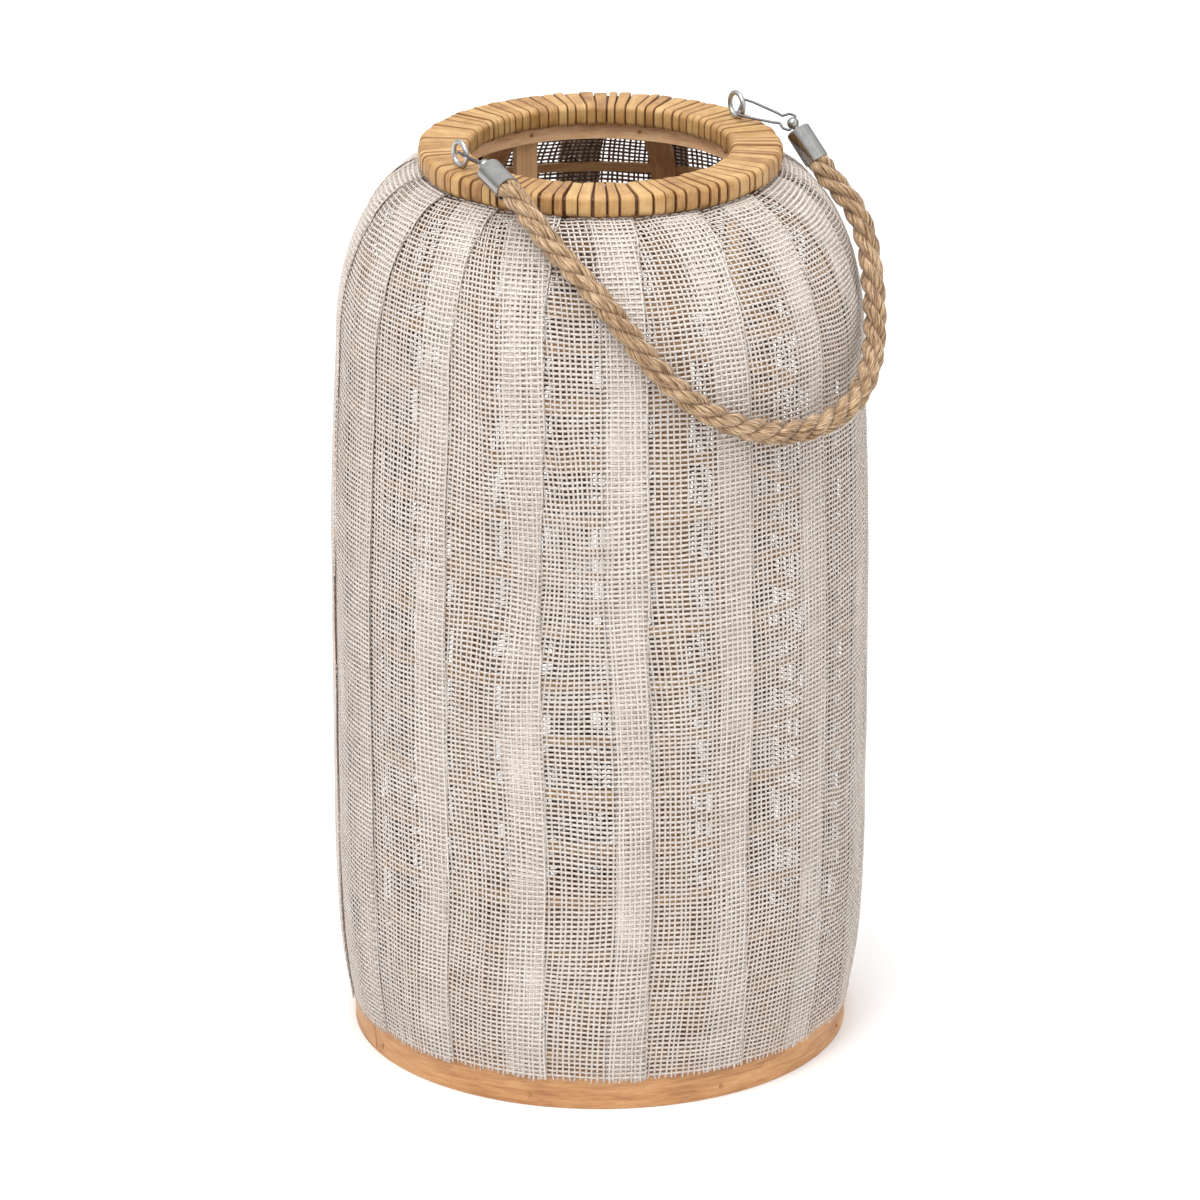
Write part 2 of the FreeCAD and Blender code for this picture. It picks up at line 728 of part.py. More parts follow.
base_floor()
base_band()
for place, angle in enumerate(rib_angles()):
    rib(place + 1, angle)
for place in range(POST_COUNT):
    post(place + 1, d["frame_turn"] + FULL_TURN * place / POST_COUNT)
for place, bottom in enumerate(hoop_heights()):
    hoop(place + 1, bottom)
ring_body("top_hoop",
          (top_hoop_outer, "dims.top_hoop_inner + dims.top_hoop_thickness"),
          (d["top_hoop_inner"], "dims.top_hoop_inner"),
          "dims.top_hoop_height",
          "dims.overall_height - dims.rim_thickness - dims.top_hoop_height")
radial_nails("band_nails", d["base_radius"], -1, d["floor_thickness"] / 2, rib_angles(), d["nail_length"])
radial_nails("top_hoop_nails", d["top_hoop_inner"], 1, rim_bottom - d["top_hoop_height"] / 2, rib_angles(),
             d["nail_length"] / 2)
rim_core()
rim_wrap()
gauze_cover()
glass_cylinder()
screw_eye("screw_eye_right", 1)
screw_eye("screw_eye_left", -1)

EYE_RIGHT = FreeCAD.Vector(d["eye_position"], 0, eye_height)
EYE_LEFT = FreeCAD.Vector(-d["eye_position"], 0, eye_height)
FERRULE_RIGHT = (FreeCAD.Vector(83.5, -25.2, 399.2), FreeCAD.Vector(87.2, -34.5, 387.9))
FERRULE_LEFT = (FreeCAD.Vector(-71.7, -27.6, 407.2), FreeCAD.Vector(-71.5, -44.9, 401.9))
BAR_RIGHT = EYE_RIGHT + FreeCAD.Vector(-0.4, -bar_reach, 0)
BAR_LEFT = EYE_LEFT + FreeCAD.Vector(0, -bar_reach, 0)
LEAN_RIGHT = FreeCAD.Vector(0.60, 0.20, 0.775)
LEAN_LEFT = FreeCAD.Vector(0.815, 0.0, -0.58)


def along_ferrule(ends, distance):
    """A point on a ferrule's axis, measured from its closed end."""
    return ends[0] + (ends[1] - ends[0]).normalize() * distance


for side_name, bar, ends, lean in (
        ("right", BAR_RIGHT, FERRULE_RIGHT, LEAN_RIGHT),
        ("left", BAR_LEFT, FERRULE_LEFT, LEAN_LEFT)):
    ball = along_ferrule(ends, -d["ball_offset"])
    run = ball - bar
    square_lean = (lean - run * (lean.dot(run) / run.dot(run))).normalize()
    bail("bail_" + side_name, bar, ball, square_lean)
    ferrule("ferrule_" + side_name, ends[0], ends[1], square_lean)

inside = d["ferrule_cap"] + 5 * d["fit_gap"]
middle = d["ferrule_length"] * 0.6
mouth = d["ferrule_length"] + 1.0
straight_end = mouth + 4.0
ROPE_POINTS = [
    along_ferrule(FERRULE_LEFT, inside),
    along_ferrule(FERRULE_LEFT, middle),
    along_ferrule(FERRULE_LEFT, mouth),
    along_ferrule(FERRULE_LEFT, straight_end),
    FreeCAD.Vector(-69.0, -63.5, 390.0),
    FreeCAD.Vector(-57.5, -92.5, 366.0),
    FreeCAD.Vector(-34.5, -113.5, 329.5),
    FreeCAD.Vector(4.5, -119.5, 305.0),
    FreeCAD.Vector(35.0, -115.5, 300.5),
    FreeCAD.Vector(62.0, -106.5, 307.0),
    FreeCAD.Vector(79.5, -92.0, 322.0),
    FreeCAD.Vector(92.0, -70.5, 349.0),
    FreeCAD.Vector(94.6, -51.7, 371.5),
    along_ferrule(FERRULE_RIGHT, straight_end),
    along_ferrule(FERRULE_RIGHT, mouth),
    along_ferrule(FERRULE_RIGHT, middle),
    along_ferrule(FERRULE_RIGHT, inside),
]
rope(ROPE_POINTS)
document.recompute()

# ---------------------------------------------------------------- check and write

HELPERS = ("PartDesign::Body", "Part::Feature", "Part::Box", "Part::Fuse")
os.makedirs("parts", exist_ok=True)
for item in document.Objects:
    if "Invalid" in item.State or "Error" in item.State:
        raise RuntimeError("%s did not build: %s" % (item.Name, item.State))
    if item.TypeId not in HELPERS:
        continue
    if item.Shape.isNull() or not item.Shape.isValid():
        raise RuntimeError("%s has a bad shape" % item.Label)
    item.Shape.exportStep("parts/%s.step" % item.Label)
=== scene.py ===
import math

import bpy
import numpy as np
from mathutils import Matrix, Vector


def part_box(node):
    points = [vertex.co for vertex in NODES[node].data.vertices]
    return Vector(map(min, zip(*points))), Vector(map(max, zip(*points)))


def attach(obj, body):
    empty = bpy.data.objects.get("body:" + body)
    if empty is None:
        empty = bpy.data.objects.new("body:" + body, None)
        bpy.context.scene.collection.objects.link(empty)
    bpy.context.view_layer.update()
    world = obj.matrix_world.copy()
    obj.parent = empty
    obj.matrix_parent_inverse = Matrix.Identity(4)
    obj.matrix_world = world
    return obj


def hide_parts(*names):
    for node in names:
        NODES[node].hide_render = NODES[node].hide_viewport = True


# Looks for the hurricane candle lantern: woven gauze, wound rattan rim, laid jute rope, and the
# woods, metals and glass of the CAD parts. Metres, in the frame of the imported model.

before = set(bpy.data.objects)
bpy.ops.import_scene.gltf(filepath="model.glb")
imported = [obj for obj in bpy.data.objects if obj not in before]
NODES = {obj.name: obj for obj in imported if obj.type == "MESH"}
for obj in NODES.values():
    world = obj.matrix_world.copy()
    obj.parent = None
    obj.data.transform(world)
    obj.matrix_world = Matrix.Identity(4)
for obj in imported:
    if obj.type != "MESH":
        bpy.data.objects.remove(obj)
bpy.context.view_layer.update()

MM = 0.001
BAKE_MAP = "OFBake"    # the name of the map layer that pieces get their map places in


# ---------------------------------------------------------------- numbers and noise

def ease(share):
    """Smooth step from 0 to 1."""
    share = np.clip(share, 0.0, 1.0)
    return share * share * (3.0 - 2.0 * share)


def smooth_noise(seed, across, along, cells_across, cells_along):
    """Smoothly varying values from -1 to 1. Both places run 0 to 1, and across closes on itself.

    Every use has a seed of its own, so the looks are the same on each run."""
    grid = np.random.default_rng(seed).uniform(-1.0, 1.0, (cells_across, cells_along + 2))
    place = np.mod(across, 1.0) * cells_across
    height = np.clip(along, 0.0, 1.0) * cells_along
    column = np.floor(place).astype(int)
    row = np.floor(height).astype(int)
    side = ease(place - column)
    rise = ease(height - row)
    column = column % cells_across
    following = (column + 1) % cells_across
    low = grid[column, row] * (1.0 - side) + grid[following, row] * side
    high = grid[column, row + 1] * (1.0 - side) + grid[following, row + 1] * side
    return low * (1.0 - rise) + high * rise


def unit(vectors):
    return vectors / np.linalg.norm(vectors, axis=-1, keepdims=True)


def vertex_arrays(node):
    """Vertex places and normals of a CAD node, as arrays."""
    mesh = NODES[node].data
    places = np.empty(len(mesh.vertices) * 3)
    normals = np.empty(len(mesh.vertices) * 3)
    mesh.vertices.foreach_get("co", places)
    mesh.vertex_normals.foreach_get("vector", normals)
    return places.reshape(-1, 3), normals.reshape(-1, 3)


# ---------------------------------------------------------------- meshes

def new_piece(name, vertices, faces, material, body, values=None, uv=None):
    """Makes one smooth-shaded mesh piece that rides on a body.

    Faces are quads in an (n, 4) array. values holds numbers or vectors per vertex for the shader."""
    mesh = bpy.data.meshes.new(name)
    count = len(faces)
    mesh.vertices.add(len(vertices))
    mesh.vertices.foreach_set("co", np.ascontiguousarray(vertices, np.float32).ravel())
    mesh.loops.add(count * 4)
    mesh.loops.foreach_set("vertex_index", np.ascontiguousarray(faces, np.int32).ravel())
    mesh.polygons.add(count)
    mesh.polygons.foreach_set("loop_start", np.arange(0, count * 4, 4, dtype=np.int32))
    if uv is not None:
        mesh.uv_layers.new(name=BAKE_MAP).data.foreach_set("uv", uv.astype(np.float32).ravel())
    for key, numbers in (values or {}).items():
        flat = np.ascontiguousarray(numbers, np.float32)
        if flat.ndim == 2:
            mesh.attributes.new(key, "FLOAT_VECTOR", "POINT").data.foreach_set("vector", flat.ravel())
        else:
            mesh.attributes.new(key, "FLOAT", "POINT").data.foreach_set("value", flat)
    mesh.update(calc_edges=True)
    mesh.validate()
    mesh.shade_smooth()
    mesh.materials.append(material)
    piece = bpy.data.objects.new(name, mesh)
    bpy.context.scene.collection.objects.link(piece)
    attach(piece, body)
    return piece


def tubes(points, corners, closed=False):
    """Quads round a set of tubes.

    points is (tubes, steps, 3) and corners is (tubes, steps, sides, 3), offsets from the points.
    Open tubes with four sides get end caps."""
    count, steps, sides = corners.shape[:3]
    vertices = (points[:, :, None, :] + corners).reshape(-1, 3)
    index = np.arange(count * steps * sides).reshape(count, steps, sides)
    if closed:
        index = np.concatenate([index, index[:, :1]], axis=1)
    turned = np.roll(index, -1, axis=2)
    walls = np.stack([index[:, :-1], turned[:, :-1], turned[:, 1:], index[:, 1:]], axis=-1)
    faces = [walls.reshape(-1, 4)]
    if not closed and sides == 4:
        faces.append(index[:, 0, ::-1])
        faces.append(index[:, -1])
    return vertices, np.concatenate(faces)


# ---------------------------------------------------------------- materials

def srgb(red, green, blue):
    """Linear colour from 0-255 display values."""
    values = []
    for value in (red, green, blue):
        share = value / 255.0
        values.append(share / 12.92 if share <= 0.04045 else ((share + 0.055) / 1.055) ** 2.4)
    return (*values, 1.0)


class Shader:
    """A material's node tree, with short calls for the nodes it is built from."""

    def __init__(self, name):
        self.material = bpy.data.materials.new(name)
        self.material.use_nodes = True
        self.nodes = self.material.node_tree.nodes
        self.surface = self.nodes["Principled BSDF"]

    def node(self, kind, inputs=None, output=0, **settings):
        made = self.nodes.new("ShaderNode" + kind)
        for key, value in settings.items():
            setattr(made, key, value)
        for key, value in (inputs or {}).items():
            self.feed(made.inputs[key], value)
        return made.outputs[output]

    def feed(self, socket, value):
        if isinstance(value, bpy.types.NodeSocket):
            self.material.node_tree.links.new(value, socket)
        else:
            socket.default_value = value

    def set(self, **values):
        for key, value in values.items():
            self.feed(self.surface.inputs[key.replace("_", " ")], value)

    def math(self, operation, first, second=0.0):
        return self.node("Math", {0: first, 1: second}, operation=operation)

    def place(self):
        return self.node("TexCoord", output="Object")

    def scaled(self, vector, scale):
        return self.node("VectorMath", {0: vector, 1: scale}, operation="MULTIPLY")

    def noise(self, vector, scale, detail=4.0, roughness=0.55):
        inputs = {"Vector": vector, "Scale": scale, "Detail": detail, "Roughness": roughness}
        return self.node("TexNoise", inputs)

    def ramp(self, value, *stops):
        """Colours by value: each stop is (place, colour)."""
        made = self.nodes.new("ShaderNodeValToRGB")
        self.feed(made.inputs[0], value)
        elements = made.color_ramp.elements
        while len(elements) < len(stops):
            elements.new(0.5)
        for element, (place, colour) in zip(elements, stops):
            element.position = place
            element.color = colour
        return made.outputs[0]

    def mix(self, share, first, second, blend="MIX"):
        return self.node("MixRGB", {0: share, 1: first, 2: second}, blend_type=blend)

    def bump(self, height, distance, strength=1.0):
        return self.node("Bump", {"Height": height, "Distance": distance, "Strength": strength})

    def glow_through(self, colour, share):
        """Lets part of the light pass through, as thin yarn does."""
        through = self.node("BsdfTranslucent", {"Color": colour})
        both = self.node("MixShader", {0: share, 1: self.surface.outputs[0], 2: through})
        self.feed(self.nodes["Material Output"].inputs["Surface"], both)

    def turned_place(self, turn=0.0):
        """Cylinder coordinates about the lantern's axis: (angle in radians, height, radius)."""
        place = self.place()
        if turn:
            place = self.node("VectorRotate", {"Vector": place, "Angle": turn}, rotation_type="Z_AXIS")
        split = self.nodes.new("ShaderNodeSeparateXYZ")
        self.feed(split.inputs[0], place)
        across, along, height = split.outputs
        angle = self.math("ARCTAN2", along, across)
        radius = self.math("SQRT", self.math("ADD", self.math("MULTIPLY", across, across),
                                             self.math("MULTIPLY", along, along)))
        return self.node("CombineXYZ", {0: angle, 1: height, 2: radius})


WHITE = (1.0, 1.0, 1.0, 1.0)
BLACK = (0.0, 0.0, 0.0, 1.0)


def wood_material(name, dark, middle, light, grain, figure, turn=0.0, roughness=0.5, speck=0.25):
    """Wood with fine grain streaks and broad figure.

    grain and figure scale the cylinder coordinates, so they set which way the grain runs."""
    shader = Shader(name)
    place = shader.turned_place(turn)
    streaks = shader.noise(shader.scaled(place, grain), 1.0, 5.0, 0.6)
    bands = shader.noise(shader.scaled(place, figure), 1.0, 3.0, 0.5)
    both = shader.math("ADD", shader.math("MULTIPLY", streaks, 0.55), shader.math("MULTIPLY", bands, 0.45))
    colour = shader.ramp(both, (0.32, dark), (0.5, middle), (0.66, light))
    pores = shader.noise(shader.scaled(place, [value * 2.5 for value in grain]), 1.0, 2.0, 0.5)
    pore_mask = shader.ramp(pores, (0.3, WHITE), (0.4, BLACK))
    colour = shader.mix(shader.math("MULTIPLY", pore_mask, speck), colour, dark)
    shader.set(Base_Color=colour, Roughness=roughness)
    height = shader.math("ADD", streaks, shader.math("MULTIPLY", pore_mask, -0.5))
    shader.set(Normal=shader.bump(height, 0.25 * MM, 0.7))
    return shader.material


def gauze_material():
    """Undyed cotton yarn: cream outside, with shade painted on the inner layer's side that faces the
    inside of the lantern.
    """
    shader = Shader("cotton_gauze")
    place = shader.place()
    yarn = shader.node("Attribute", attribute_name="shade", output="Fac")
    inner_layer = shader.node("Attribute", attribute_name="inner", output="Fac")
    soil = shader.noise(place, 18.0, 3.0)
    fibre = shader.noise(place, 2600.0, 2.0, 0.7)
    tone = shader.math("ADD", shader.math("MULTIPLY", yarn, 0.6),
                       shader.math("ADD", shader.math("MULTIPLY", soil, 0.25),
                                   shader.math("MULTIPLY", fibre, 0.25)))
    colour = shader.ramp(tone, (0.3, srgb(216, 203, 192)), (0.55, srgb(233, 222, 213)),
                         (0.8, srgb(243, 235, 228)))
    normal = shader.node("TexCoord", output="Normal")
    flat = shader.node("VectorMath", {0: place, 1: (1.0, 1.0, 0.0)}, operation="MULTIPLY")
    outward = shader.node("VectorMath", {0: flat}, operation="NORMALIZE")
    facing = shader.node("VectorMath", {0: normal, 1: outward}, operation="DOT_PRODUCT", output="Value")
    # Painted shade: the inner layer's yarns are darkened towards grey-brown where they face the inside of
    # the lantern.
    inside = shader.math("MULTIPLY", shader.ramp(facing, (0.0, WHITE), (0.12, BLACK)), inner_layer)
    shade = shader.mix(1.0, colour, srgb(150, 131, 116), "MULTIPLY")
    finished = shader.mix(inside, colour, shade)
    shader.set(Base_Color=finished, Roughness=0.95, Sheen_Weight=0.15, Specular_IOR_Level=0.15)
    shader.set(Normal=shader.bump(fibre, 0.06 * MM, 0.6))
    shader.glow_through(finished, YARN_TRANSLUCENCE)
    return shader.material


def rattan_material():
    """Honey-coloured rattan peel: satin skin, fine lengthwise lines, shade painted on the edges, each
    strip its own.
    """
    shader = Shader("rattan_peel")
    place = shader.place()
    strip = shader.node("Attribute", attribute_name="shade", output="Fac")
    edge = shader.node("Attribute", attribute_name="edge", output="Fac")
    turned = shader.turned_place()
    lines = shader.noise(shader.scaled(turned, (150.0, 25.0, 25.0)), 1.0, 4.0, 0.65)
    patch = shader.noise(place, 110.0, 6.0, 0.7)
    tone = shader.math("ADD", shader.math("MULTIPLY", strip, 0.22),
                       shader.math("ADD", shader.math("MULTIPLY", lines, 0.35),
                                   shader.math("MULTIPLY", patch, 0.55)))
    colour = shader.ramp(tone, (0.40, srgb(126, 84, 42)), (0.55, srgb(178, 134, 78)),
                         (0.74, srgb(204, 168, 112)))
    crack = shader.ramp(lines, (0.3, WHITE), (0.38, BLACK))
    colour = shader.mix(shader.math("MULTIPLY", crack, 0.6), colour, srgb(120, 74, 36))
    # Painted shade: each strip darkens towards its edges, where it turns down into the gap beside the next
    # strip.
    edge_shade_reach = shader.math("ADD", edge, shader.math("MULTIPLY", patch, 0.18))
    painted_edge_shade = shader.ramp(edge_shade_reach, (0.94, BLACK), (1.10, WHITE))
    colour = shader.mix(shader.math("MULTIPLY", painted_edge_shade, 0.7), colour, srgb(122, 76, 38))
    shader.set(Base_Color=colour, Roughness=shader.math("ADD", 0.28, shader.math("MULTIPLY", patch, 0.3)))
    shader.set(Coat_Weight=0.1, Coat_Roughness=0.35)
    shader.set(Normal=shader.bump(shader.math("ADD", lines, patch), 0.35 * MM, 0.9))
    return shader.material


def jute_material():
    """Laid jute: tan fibres that run along the yarns, with shade painted in the grooves between strands.
    """
    shader = Shader("jute")
    place = shader.place()
    depth = shader.node("Attribute", attribute_name="shade", output="Fac")
    yarn = shader.node("Attribute", attribute_name="fibre", output="Fac")
    along_yarn = shader.node("Attribute", attribute_name="yarn_place", output="Vector")
    fibre = shader.noise(along_yarn, 1900.0, 3.0, 0.7)
    patch = shader.noise(place, 90.0, 4.0)
    tone = shader.math("ADD", shader.math("MULTIPLY", yarn, 0.12),
                       shader.math("ADD", shader.math("MULTIPLY", patch, 0.18),
                                   shader.math("MULTIPLY", fibre, 0.8)))
    colour = shader.ramp(tone, (0.44, srgb(92, 65, 41)), (0.55, srgb(162, 130, 96)),
                         (0.66, srgb(210, 182, 148)))
    # Painted shade: the grooves between strands are darkened from how far out on its strand each point
    # lies.
    painted_groove_shade = shader.ramp(depth, (0.1, WHITE), (0.62, BLACK))
    colour = shader.mix(shader.math("MULTIPLY", painted_groove_shade, 0.7), colour, srgb(92, 62, 38))
    shader.set(Base_Color=colour, Roughness=0.85, Sheen_Weight=0.2, Specular_IOR_Level=0.3)
    shader.set(Normal=shader.bump(fibre, 0.6 * MM, 1.0))
    return shader.material


def metal_material(name, colour, roughness, scratches):
    """Plated or brushed metal. scratches scales the object coordinates of the brush marks."""
    shader = Shader(name)
    marks = shader.noise(shader.scaled(shader.place(), scratches), 1.0, 4.0, 0.6)
    tarnish = shader.noise(shader.place(), 220.0, 3.0)
    tint = shader.ramp(tarnish, (0.3, [value * 0.85 for value in colour[:3]] + [1.0]), (0.6, colour))
    shader.set(Base_Color=tint, Metallic=1.0)
    shader.set(Roughness=shader.math("ADD", roughness, shader.math("MULTIPLY", marks, 0.18)))
    shader.set(Normal=shader.bump(marks, 0.05 * MM, 0.5))
    return shader.material


def glass_material():
    """Clear glass, thin enough that it doesn't bend what is behind it.

    Only the side where a ray enters mirrors, or the wall would look black where it's seen edge on."""
    shader = Shader("clear_glass")
    clear = shader.node("BsdfTransparent", {"Color": srgb(253, 254, 254)})
    smears = shader.noise(shader.place(), 45.0, 3.0)
    gloss = shader.node("BsdfGlossy", {"Roughness": shader.math("MULTIPLY", smears, 0.08)})
    leaving = shader.node("NewGeometry", output="Backfacing")
    entering = shader.math("SUBTRACT", 1.0, leaving)
    edge = shader.math("MULTIPLY", shader.node("Fresnel", {"IOR": 1.45}), entering)
    both = shader.node("MixShader", {0: edge, 1: clear, 2: gloss})
    shader.feed(shader.nodes["Material Output"].inputs["Surface"], both)
    return shader.material


# ---------------------------------------------------------------- gauze cover

PIECES = 8
PLEATS = 16
WARPS_PER_PLEAT = 33
WARPS = PLEATS * WARPS_PER_PLEAT
PLEAT_TURN = 2.0 * math.pi / PLEATS
FOLD_TURN = math.radians(-111.2)     # where one of the fold edges lies
FOLD_WANDER = math.radians(0.7)
OPEN_SHARE_BELLY = 0.65              # of a pleat that is a single layer, at the belly
OPEN_SHARE_RIM = 0.30                # and next to the rim
OPEN_SHARE_SPREAD = 0.10             # how much that differs between pleats
WEFT_PITCH = 2.20 * MM
WEFT_WIDTH = 1.26 * MM
WARP_WIDTH = 0.98 * MM
YARN_THICKNESS = 0.36 * MM
YARN_TRANSLUCENCE = 0.25
CRIMP = 0.15 * MM                    # how far yarns bend over and under each other
LAYER_LIFTS = (-0.60 * MM, -0.12 * MM, 0.36 * MM)   # inner, middle and outer layer
LAYER_RIPPLE = 0.25 * MM
FOLD_PUFF = 0.08 * MM
STAGGER = 0.5                        # of a row that the folded-back layer is off the others
STAGGER_SPREAD = 0.22
FOLD_EDGE_SHARE = 0.16               # of a layer's width over which the stagger sets in
CLOTH_END = 1e-6                     # keeps a piece's last crossing inside its own pleats
OUTSIDE_FACING = 0.12                # normals that point outwards more than this are the outside

# How far yarns have slipped, in millimetres.
SLIP_WIDE = 1.5
SLIP_NARROW = 0.35
SLIP_DROOP = 0.7
SLIP_SINGLE = 0.14
SLIP_STARTS = 0.04                   # share of the cover's length, from either end
WARP_WANDER = 0.28
FRINGE = (0.3, 1.7)                  # shortest and longest yarn end past the lower edge
FRINGE_LEAN = 0.6
FRINGE_LIFT = (-0.1, 0.3)

PROFILE_STEPS = 600
PROFILE_SMOOTHING = 15               # steps that each rate is averaged over


def cover_profile():
    """The cover's outside outline: path length, radius, height and their rates."""
    places, normals = vertex_arrays("gauze_cover")
    radius = np.hypot(places[:, 0], places[:, 1])
    outward = (normals[:, 0] * places[:, 0] + normals[:, 1] * places[:, 1]) / radius
    skin = outward > OUTSIDE_FACING
    order = np.argsort(places[skin, 2])
    heights = places[skin, 2][order]
    radii = radius[skin][order]
    levels, first = np.unique(np.round(heights, 5), return_index=True)
    radii = np.maximum.reduceat(radii, first)
    path = np.concatenate([[0.0], np.cumsum(np.hypot(np.diff(levels), np.diff(radii)))])
    even = np.linspace(0.0, path[-1], PROFILE_STEPS)
    radii = np.interp(even, path, radii)
    levels = np.interp(even, path, levels)
    smooth = np.ones(PROFILE_SMOOTHING) / PROFILE_SMOOTHING
    margin = PROFILE_SMOOTHING // 2
    out_rate = np.convolve(np.pad(np.gradient(radii, even), margin, "edge"), smooth, "valid")
    up_rate = np.convolve(np.pad(np.gradient(levels, even), margin, "edge"), smooth, "valid")
    length = np.hypot(out_rate, up_rate)
    return even, radii, levels, out_rate / length, up_rate / length


PATH, RADII, LEVELS, OUT_RATE, UP_RATE = cover_profile()
COVER_LENGTH = PATH[-1]
BELLY_RADIUS = RADII.max()
NECK_RADIUS = RADII.min()
WEFT_COUNT = int(COVER_LENGTH / WEFT_PITCH)
WEFT_ROWS = (np.arange(WEFT_COUNT) + 0.5) * COVER_LENGTH / WEFT_COUNT
ROW_SHARES = WEFT_ROWS / COVER_LENGTH
WARP_JITTER = np.random.default_rng(31).uniform(-0.2, 0.2, WARPS)
WARP_PLACES = (np.arange(WARPS) + 0.5 + WARP_JITTER) / WARPS_PER_PLEAT


def surface(turn, along, lift):
    """Place on the cover and its three directions: round, up along the outline, and outwards."""
    radius = np.interp(along, PATH, RADII)
    below = np.minimum(along, 0.0)
    height = np.interp(along, PATH, LEVELS) + below
    out_rate = np.interp(along, PATH, OUT_RATE)
    up_rate = np.interp(along, PATH, UP_RATE)
    cos, sin = np.cos(turn), np.sin(turn)
    zero = np.zeros_like(cos)
    spread = radius + lift * up_rate
    place = np.stack([spread * cos, spread * sin, height - lift * out_rate], axis=-1)
    around = np.stack([-sin, cos, zero], axis=-1)
    upward = np.stack([out_rate * cos, out_rate * sin, up_rate + zero], axis=-1)
    outward = np.stack([up_rate * cos, up_rate * sin, -out_rate + zero], axis=-1)
    return place, around, upward, outward


def pleat_state(pleat, along):
    """Angle of a pleat's fold edge, and the angle its folded layers cover, at one height."""
    share = along / COVER_LENGTH
    radius = np.interp(along, PATH, RADII)
    narrow = np.clip((BELLY_RADIUS - radius) / (BELLY_RADIUS - NECK_RADIUS), 0.0, 1.0)
    narrow = np.where(share > 0.5, narrow, 0.0)
    open_share = OPEN_SHARE_BELLY + (OPEN_SHARE_RIM - OPEN_SHARE_BELLY) * narrow
    spread = smooth_noise(11, pleat / PLEATS, share, PLEATS, 5)
    open_share = open_share * (1.0 + OPEN_SHARE_SPREAD * spread)
    fold = FOLD_TURN + pleat * PLEAT_TURN
    fold = fold + FOLD_WANDER * smooth_noise(12, pleat / PLEATS, share, PLEATS, 4)
    return fold, (1.0 - open_share) * PLEAT_TURN


def cloth_place(cloth, along):
    """Where the cloth lies: angle and lift for a cloth coordinate that counts pleats."""
    pleat = np.floor(cloth)
    share = cloth - pleat
    fold, dense = pleat_state(pleat, along)
    next_fold, next_dense = pleat_state(pleat + 1.0, along)
    length = PLEAT_TURN + 2.0 * dense
    travel = share * length
    inner, middle, outer = LAYER_LIFTS
    opening = np.clip((travel - 3.0 * dense) / (length - 3.0 * dense), 0.0, 1.0)
    shift = next_fold - fold - PLEAT_TURN + dense - next_dense
    turn = np.where(travel < dense, fold + travel - dense,
                    np.where(travel < 2.0 * dense, fold + dense - travel,
                             fold + travel - 3.0 * dense + shift * opening))
    near_fold = ease(1.0 - np.abs(travel - dense) / (0.35 * dense))
    lift = np.where(travel < dense, outer,
                    np.where(travel < 2.0 * dense, middle, inner + (outer - inner) * ease(opening)))
    lift = lift + np.where(travel < dense, FOLD_PUFF, 0.5 * FOLD_PUFF) * near_fold
    lift = lift + LAYER_RIPPLE * smooth_noise(13, cloth / PLEATS, along / COVER_LENGTH, 96, 16)
    return turn, lift


def fold_places(pleat, along):
    """Cloth coordinates of a pleat's two folds, outer and hidden, at one height."""
    dense = pleat_state(pleat, along)[1]
    length = PLEAT_TURN + 2.0 * dense
    return pleat + dense / length, pleat + 2.0 * dense / length


def sag(cloth, row_share):
    """How far a weft has slipped along the cover at one place."""
    cloth_share = cloth / PLEATS
    wide = smooth_noise(21, cloth_share, row_share, 44, 11)
    narrow = smooth_noise(22, cloth_share, row_share, 120, 34)
    single = smooth_noise(23, cloth_share, row_share, 160, WEFT_COUNT)
    droop = np.sin(2.0 * math.pi * (cloth - np.floor(cloth) - 0.2))
    droop = droop * (0.4 + 0.6 * smooth_noise(24, cloth_share, row_share, PLEATS, 6))
    held = ease(row_share / SLIP_STARTS) * ease((1.0 - row_share) / SLIP_STARTS)
    slip = (SLIP_WIDE * wide + SLIP_NARROW * narrow + SLIP_DROOP * droop) * held + SLIP_SINGLE * single
    return slip * MM + row_offset(cloth, row_share)


def row_offset(cloth, row_share):
    """The folded-back layer lies about half a row off the others, so that it fills their holes."""
    pleat = np.floor(cloth)
    along = row_share * COVER_LENGTH
    dense = pleat_state(pleat, along)[1]
    inward = (cloth - pleat) * (PLEAT_TURN + 2.0 * dense) / dense - 1.0
    plateau = ease(inward / FOLD_EDGE_SHARE) * ease((1.0 - inward) / FOLD_EDGE_SHARE)
    amount = STAGGER + STAGGER_SPREAD * smooth_noise(20, cloth / PLEATS, row_share, 64, 14)
    return WEFT_PITCH * amount * plateau


def yarn_corners(side, up, half_width, half_thickness):
    """The four corners of a flat yarn's diamond section."""
    wide = side * half_width[..., None]
    thick = up * half_thickness
    return np.stack([wide, thick, -wide, -thick], axis=2)


